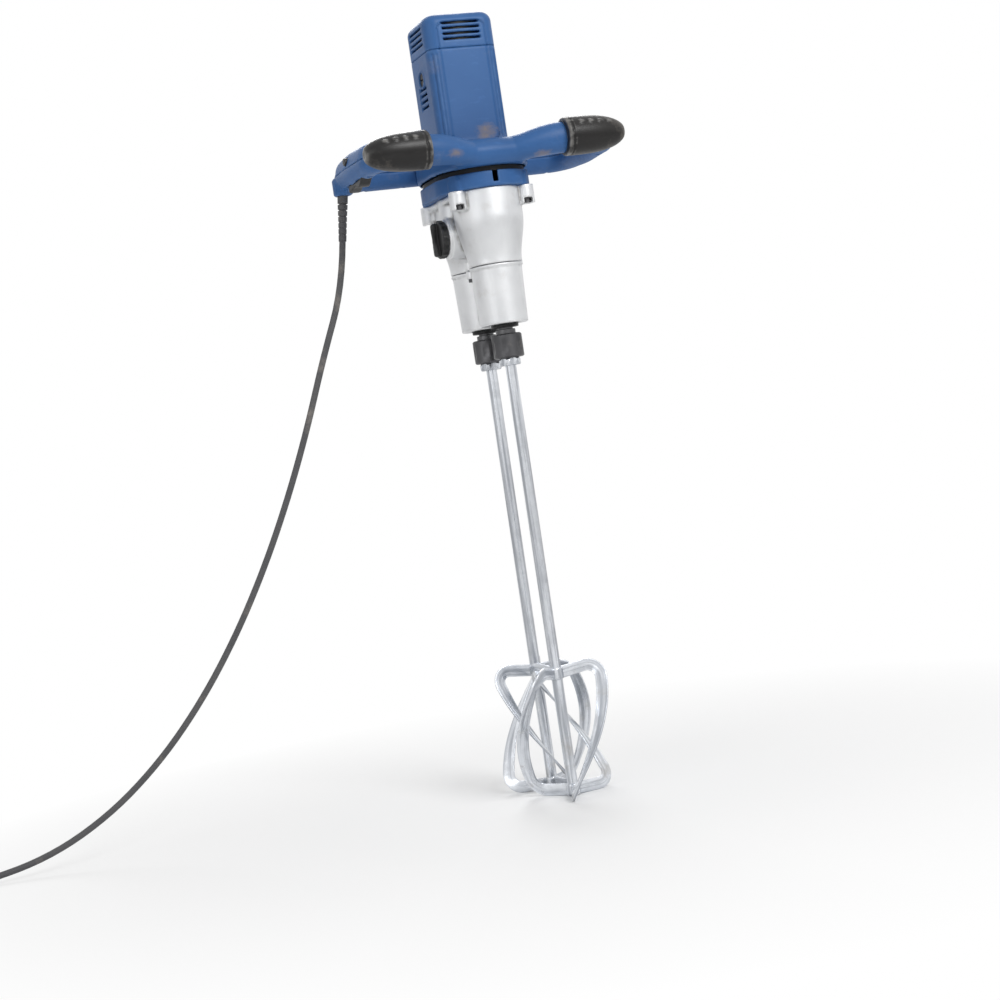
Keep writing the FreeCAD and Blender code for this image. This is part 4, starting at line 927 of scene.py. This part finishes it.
# Trigger: a black nylon lever under the right grip, hollowed for the finger.
# It swings on a steel cross pin at its front end.
lever_low, lever_high = (-165.5, -49.0, -27.0), (-150.5, 20.0, -8.0)
finger_y, finger_z, finger_round = -6.0, -58.0, 35.0
chin_z, chin_slope = -17.0, 0.6


def finger_lever(p):
    """Lever with a round hollow below, cut off in front by a slope; 0.85 is about 1 / sqrt(1 + slope^2)."""
    y, z = p[:, 1], p[:, 2]
    shape = slab(p, lever_low, lever_high, 2.2)
    shape = cut_away(shape, np.hypot(y - finger_y, z - finger_z) - finger_round, 3.0)
    chin = (-(y - lever_low[1]) * chin_slope - (z - chin_z)) * 0.85
    return kept_within(shape, chin, 3.0)


lever = sculpt("finger_trigger", finger_lever, (-167, -51, -28), (-149, 22, -7), 1.0)
dress(lever, black_nylon, "trigger_lever", "black_plastic", "trigger")


# Lock button: a small black push button with a dished face, moulded in nylon.
# It slides in the outer side of the right grip and holds the trigger in.
button_round, button_face, button_back = 5.0, -178.5, -170.5
dish_centre, dish_round = np.array([-190.0, button_y, button_z]), 12.2


def push_button(p):
    cap = cross_post(p, button_y, button_z, button_round, button_face, button_back, 1.4)
    return cut_away(cap, np.linalg.norm(p - dish_centre, axis=1) - dish_round, 0.6)


button = sculpt("lock_push_button", push_button, (-180, -26, 2), (-169, -14, 14), 0.6)
dress(button, black_nylon, "lock", "black_plastic", "lock_button")


# Speed knob: a black nylon disc with a scalloped rim and a finger bar across it.
# It sits on a steel shaft that turns in the case's side boss.
knob_round, knob_face, knob_back, scallop_count, scallop_depth = 25.0, -61.3, -52.3, 18, 0.7
finger_bar_reach, finger_bar_half, finger_bar_face, waist_y, waist_round = 22.0, 5.2, -68.3, 27.0, 24.2


def speed_knob(p):
    x, y, z = p.T
    turn = np.arctan2(y, z - knob_z)
    rim = knob_round - scallop_depth * (0.5 + 0.5 * np.cos(scallop_count * turn))
    disc = extruded(np.hypot(y, z - knob_z) - rim, x, knob_face, knob_back, 1.8)
    bar = slab(p, (finger_bar_face, -finger_bar_half, knob_z - finger_bar_reach),
               (-58, finger_bar_half, knob_z + finger_bar_reach), 3.6)
    waist = np.hypot(np.abs(y) - waist_y, z - knob_z) - waist_round
    shape = joined(disc, cut_away(bar, waist, 2.0), 1.6)
    mark = slab(p, (-70, -0.9, knob_z + 8), (-67.5, 0.9, knob_z + 18), 0.3)
    shape = cut_away(shape, mark, 0.4)
    return cut_away(shape, cross_post(p, 0, knob_z, 5.02, -56.0, -40.0, 0.2), 0.3)


knob = sculpt("speed_knob", speed_knob, (-69, -26, knob_z - 26), (-52, 26, knob_z + 26), 1.1)
dress(knob, black_nylon, "selector", "black_plastic", "selector_knob")
finish_node("selector_shaft", ground_steel)


# Mains lead: 3.35 m of rubber-sheathed cable. It leaves the trigger handle through a ribbed sleeve,
# hangs to the floor and runs aside to a flat coil of the spare length, with a moulded plug.
relief_length, relief_lean, relief_round, relief_tip, rib_root = 60.0, math.radians(9.0), 7.0, 5.15, 4.85
relief_root, relief_knee, rib_pitch, rib_gap, rib_edge = 15.8, 6.0, 8.0, 2.2, 0.2
relief_axis = np.array([-math.sin(relief_lean), 0, -math.cos(relief_lean)])
lead_thick, lead_sag, lead_runs, lie = 0.0085, 0.300, 10, -0.84435
coil_start = np.array([-0.812, 0.183, lie])
coil_turns, coil_outer, coil_pitch, coil_layer, lead_out = 3.25, 0.068, 0.0103, 0.0096, 0.064
turn_points = 16


def lead_finish():
    material, tree, shader, place = start_finish("lead_rubber", specular=0.35)
    cloud = noise(tree, place, 30, 4)
    base = layered(tree, (0.078, 0.078, 0.083), (ramp(tree, cloud, 0.35, 0.7), (0.102, 0.101, 0.103)),
                   (dust(tree, place, 0.6, 25.0), dust_colour))
    fill(tree, shader, Base_Color=base, Roughness=ramp(tree, cloud, 0.3, 0.7, 0.48, 0.62))
    relief(tree, shader, noise(tree, place, 1800, 2), 0.00008)
    return material


def lead_sleeve(name):
    """Ribbed taper: rings of radius by distance down, on an upright root and then on the leaning axis."""
    down = [-relief_root, -relief_root, 0.0]
    radius = [0.0, relief_round, relief_round]
    taper = lambda at: np.interp(at, (relief_knee, 30.0, relief_length), (relief_round, 5.8, relief_tip))
    for k in range(6, 0, -1):
        at = relief_length - rib_pitch * k - rib_gap
        down += [at, at + rib_edge, at + rib_gap - rib_edge, at + rib_gap]
        radius += [taper(at), rib_root, rib_root, taper(at + rib_gap)]
    down, radius = np.array(down + [relief_length] * 2), np.array(radius + [relief_tip, 0.0])
    bent = np.clip(down / relief_knee, 0, 1)[:, None]
    axis = np.array([0, 0, -1.0]) * (1 - bent) + relief_axis * bent
    centre = np.array([relief_x, relief_y, relief_foot]) + axis * down[:, None]
    turn = full_turn(40)[None, :, None]
    sideways = np.stack([-axis[:, 2], 0 * down, axis[:, 0]], 1)
    rings = sideways[:, None] * np.cos(turn) + np.array([0, 1.0, 0]) * np.sin(turn)
    points = centre[:, None] + rings * radius[:, None, None]
    return close_up(put(name, points, grid_faces(len(down), 40)), 32.0, 0.4)


def hanging_route():
    """Catenary z = a (cosh(x / a) - 1) from the sleeve's tip down to the floor, swung back to the coil's
    start by the smooth step of the length run."""
    tip = (np.array([relief_x, relief_y, relief_foot]) + relief_axis * relief_length) * 0.001
    reach = lead_sag * math.acosh(1 + (tip[2] - lie) / lead_sag)
    length = lead_sag * math.sinh(reach / lead_sag)
    first_run = 0.6 * length / lead_runs
    left = (length - first_run) * (1 - np.arange(1, lead_runs + 1) / lead_runs)
    ahead = lead_sag * np.arcsinh(left / lead_sag)
    swing = (coil_start[1] - tip[1]) * smooth_step(1 - left / length)
    hang = np.stack([tip[0] - reach + ahead, tip[1] + swing,
                     lie + lead_sag * (np.cosh(ahead / lead_sag) - 1)], 1)
    return np.concatenate([[tip, tip + relief_axis * first_run], hang, [coil_start]])


def coil_points():
    """Control points of two flat layers, wound in and then out, so many to the turn; a spline of
    order 3 lies inside its corners by the mean of the half-step cosine, so the radius is opened for it."""
    whole = 2 * coil_turns + 0.5
    turns = np.arange(0.5 / turn_points, whole, 1 / turn_points)
    climb = np.clip((turns - coil_turns) / 0.5, 0, 1)
    wound = np.minimum(np.minimum(turns, coil_turns), whole - turns)
    radius = (coil_outer - coil_pitch * wound) / math.cos(math.pi / turn_points)
    angle = -np.pi / 2 - 2 * np.pi * turns
    lift = coil_layer * (1 - np.cos(np.pi * climb)) / 2
    centre = route[-1] + np.array([0, coil_outer, 0])
    wind = centre + np.stack([radius * np.cos(angle), radius * np.sin(angle), lift], 1)
    end = route[-1] + np.array([0, 0, coil_layer])
    return np.concatenate([wind, [end, end + np.array([-lead_out, 0, 0])]])


def lead_curve(name, points):
    line = bpy.data.curves.new(name, "CURVE")
    line.dimensions = "3D"
    spline = line.splines.new("NURBS")
    spline.points.add(len(points) - 1)
    weighted = np.concatenate([points, np.ones((len(points), 1))], 1)
    spline.points.foreach_set("co", weighted.astype(np.float32).ravel())
    spline.order_u = 3
    spline.use_endpoint_u = True
    line.resolution_u = 6
    line.bevel_depth = lead_thick / 2
    line.bevel_resolution = 5
    line.use_fill_caps = True
    piece = bpy.data.objects.new(name, line)
    bpy.context.scene.collection.objects.link(piece)
    return piece


lead_rubber = lead_finish()
dress(lead_sleeve("lead_sleeve"), lead_rubber, "machine", "black_plastic", "strain_relief")
route = hanging_route()
lead = lead_curve("mains_lead", np.concatenate([route, coil_points()]))
dress(lead, lead_rubber, "machine", "cord_jacket", "cord_stretch", "cord_coil")
plug_face, plug_y, plug_z, plug_long, plug_round = -922.0, 183.0, -834.75, 46.0, 17.5


def plug_grip(p):
    """Round plug: a flat-sided face, a ribbed waist for the fingers and a collar round the lead."""
    x, y, z = p.T
    along = x - plug_face
    away = np.hypot(y - plug_y, z - plug_z)
    waist = np.interp(along, (0.0, 10.0, 14.0, 34.0, 36.0, plug_long),
                      (plug_round, plug_round, 12.6, 9.3, 6.75, 6.4))
    waist = waist - 0.7 * (np.mod(along - 16.0, 4.0) < 1.6) * (along > 15.0) * (along < 33.0)
    body = extruded(away - waist, along, 0.0, plug_long, 1.2) * 0.9
    body = kept_within(body, np.abs(z - plug_z) - 15.25, 1.0)
    return np.maximum(body, 4.25 - away - 60.0 * (along < 44.0))


plug = sculpt("mains_plug", plug_grip, (plug_face, 165, -851), (plug_face + plug_long, 201, -818), 1.0)
dress(plug, black_nylon, "machine", "black_plastic", "plug_body")
finish_node("coil_tie", black_nylon)
tie_edge = nodes["coil_tie"].modifiers.new("edge", "BEVEL")
tie_edge.width = 0.0012
tie_edge.segments = 3
brass = steel_finish("plug_brass", (0.62, 0.42, 0.16), 0.25, (1, 0.05, 1))
finish_node("plug_pins", brass)


# Inner parts: the motor, gears, bearings and seals, each in its own metal or plastic.
# They stay the turned and cut solids, since the closed housings hide them.
copper = steel_finish("copper_wire", (0.62, 0.30, 0.14), 0.35, lengthwise)
iron = steel_finish("lamination_iron", (0.22, 0.22, 0.23), 0.45, (1, 1, 30))
inner_parts = (
    (ground_steel, ("front_gear", "rear_gear", "countershaft", "countershaft_gear", "countershaft_pinion",
                    "motor_pinion", "armature_shaft", "armature_bearings", "countershaft_bearings",
                    "spindle_bearings", "trigger_pin")),
    (iron, ("armature_core", "stator_core")),
    (copper, ("commutator", "stator_coils", "brush_holders")),
    (black_nylon, ("carbon_brushes", "cooling_fan", "stator_rings", "shaft_seals")),
    (black_steel, ("case_screws",)))
for material, names in inner_parts:
    for node in names:
        finish_node(node, material)


# Studio: a pale floor under the paddle tips that fades to white, and three soft lamps.
# The camera stands where the picture was taken from.
floor_half, floor_z, fade_start, fade_end = 30.0, -0.8502, 0.90, 1.30
scene = bpy.context.scene


def make_floor():
    mesh = bpy.data.meshes.new("studio_floor")
    corners = [(x * floor_half, y * floor_half, floor_z) for x, y in ((-1, -1), (1, -1), (1, 1), (-1, 1))]
    mesh.from_pydata(corners, [], [(0, 1, 2, 3)])
    floor = bpy.data.objects.new("studio_floor", mesh)
    scene.collection.objects.link(floor)
    material, tree, shader, place = start_finish("pale_floor", specular=0.1)
    fill(tree, shader, Base_Color=(0.95, 0.95, 0.95, 1), Roughness=0.9)
    away = add(tree, "ShaderNodeVectorMath", Vector=place)
    away.operation = "LENGTH"
    ray = tree.nodes.new("ShaderNodeLightPath")
    fade = times(tree, ramp(tree, away.outputs["Value"], fade_start, fade_end), ray.outputs["Is Camera Ray"])
    blend = add(tree, "ShaderNodeMixShader", Fac=fade)
    feed(tree, shader.outputs["BSDF"], blend.inputs[1])
    feed(tree, tree.nodes.new("ShaderNodeEmission").outputs["Emission"], blend.inputs[2])
    fill(tree, tree.nodes["Material Output"], Surface=blend.outputs["Shader"])
    mesh.materials.append(material)


make_floor()
scene.view_settings.view_transform = "Standard"
world = bpy.data.worlds.new("studio")
scene.world = world
world.use_nodes = True
sky = world.node_tree
ray = sky.nodes.new("ShaderNodeLightPath").outputs
seen = times(sky, ray["Is Camera Ray"], ray["Is Glossy Ray"], "MAXIMUM")
seen = times(sky, seen, ray["Is Transmission Ray"], "MAXIMUM")
fill(sky, sky.nodes["Background"], Color=(1, 1, 1, 1), Strength=ramp(sky, seen, 0.0, 1.0, 0.45, 1.0))


def lamp(name, place, aim, size, power):
    data = bpy.data.lights.new(name, "AREA")
    data.shape = "DISK"
    data.size = size
    data.energy = power
    light = bpy.data.objects.new(name, data)
    light.location = place
    light.rotation_euler = (Vector(aim) - Vector(place)).to_track_quat("-Z", "Y").to_euler()
    scene.collection.objects.link(light)


lamp("key", (0.7, -2.7, 1.6), (0, 0, -0.25), 1.3, 52)
lamp("fill", (-2.4, -1.4, 0.7), (0, 0, -0.3), 1.8, 10)
lamp("back", (0.6, 2.2, 1.4), (0, 0, -0.2), 1.4, 30)

azimuth, elevation, roll = math.radians(-18.95), math.radians(1.66), math.radians(-8.45)
camera_place, lens, sensor = (-0.8718, -2.4560, -0.3769), 70.6, 36.0
across = Vector((math.cos(azimuth), math.sin(azimuth), 0))
behind = Vector((math.sin(azimuth) * math.cos(elevation), -math.cos(azimuth) * math.cos(elevation),
                 math.sin(elevation)))
upward = behind.cross(across)
picture_right = across * math.cos(roll) + upward * math.sin(roll)
picture_up = upward * math.cos(roll) - across * math.sin(roll)
camera = bpy.data.objects.new("camera", bpy.data.cameras.new("camera"))
camera.data.sensor_width = sensor
camera.data.lens = lens
camera.data.clip_end = 200.0
turned_to = Matrix((picture_right, picture_up, behind)).transposed().to_4x4()
camera.matrix_world = Matrix.Translation(camera_place) @ turned_to
scene.collection.objects.link(camera)
scene.camera = camera
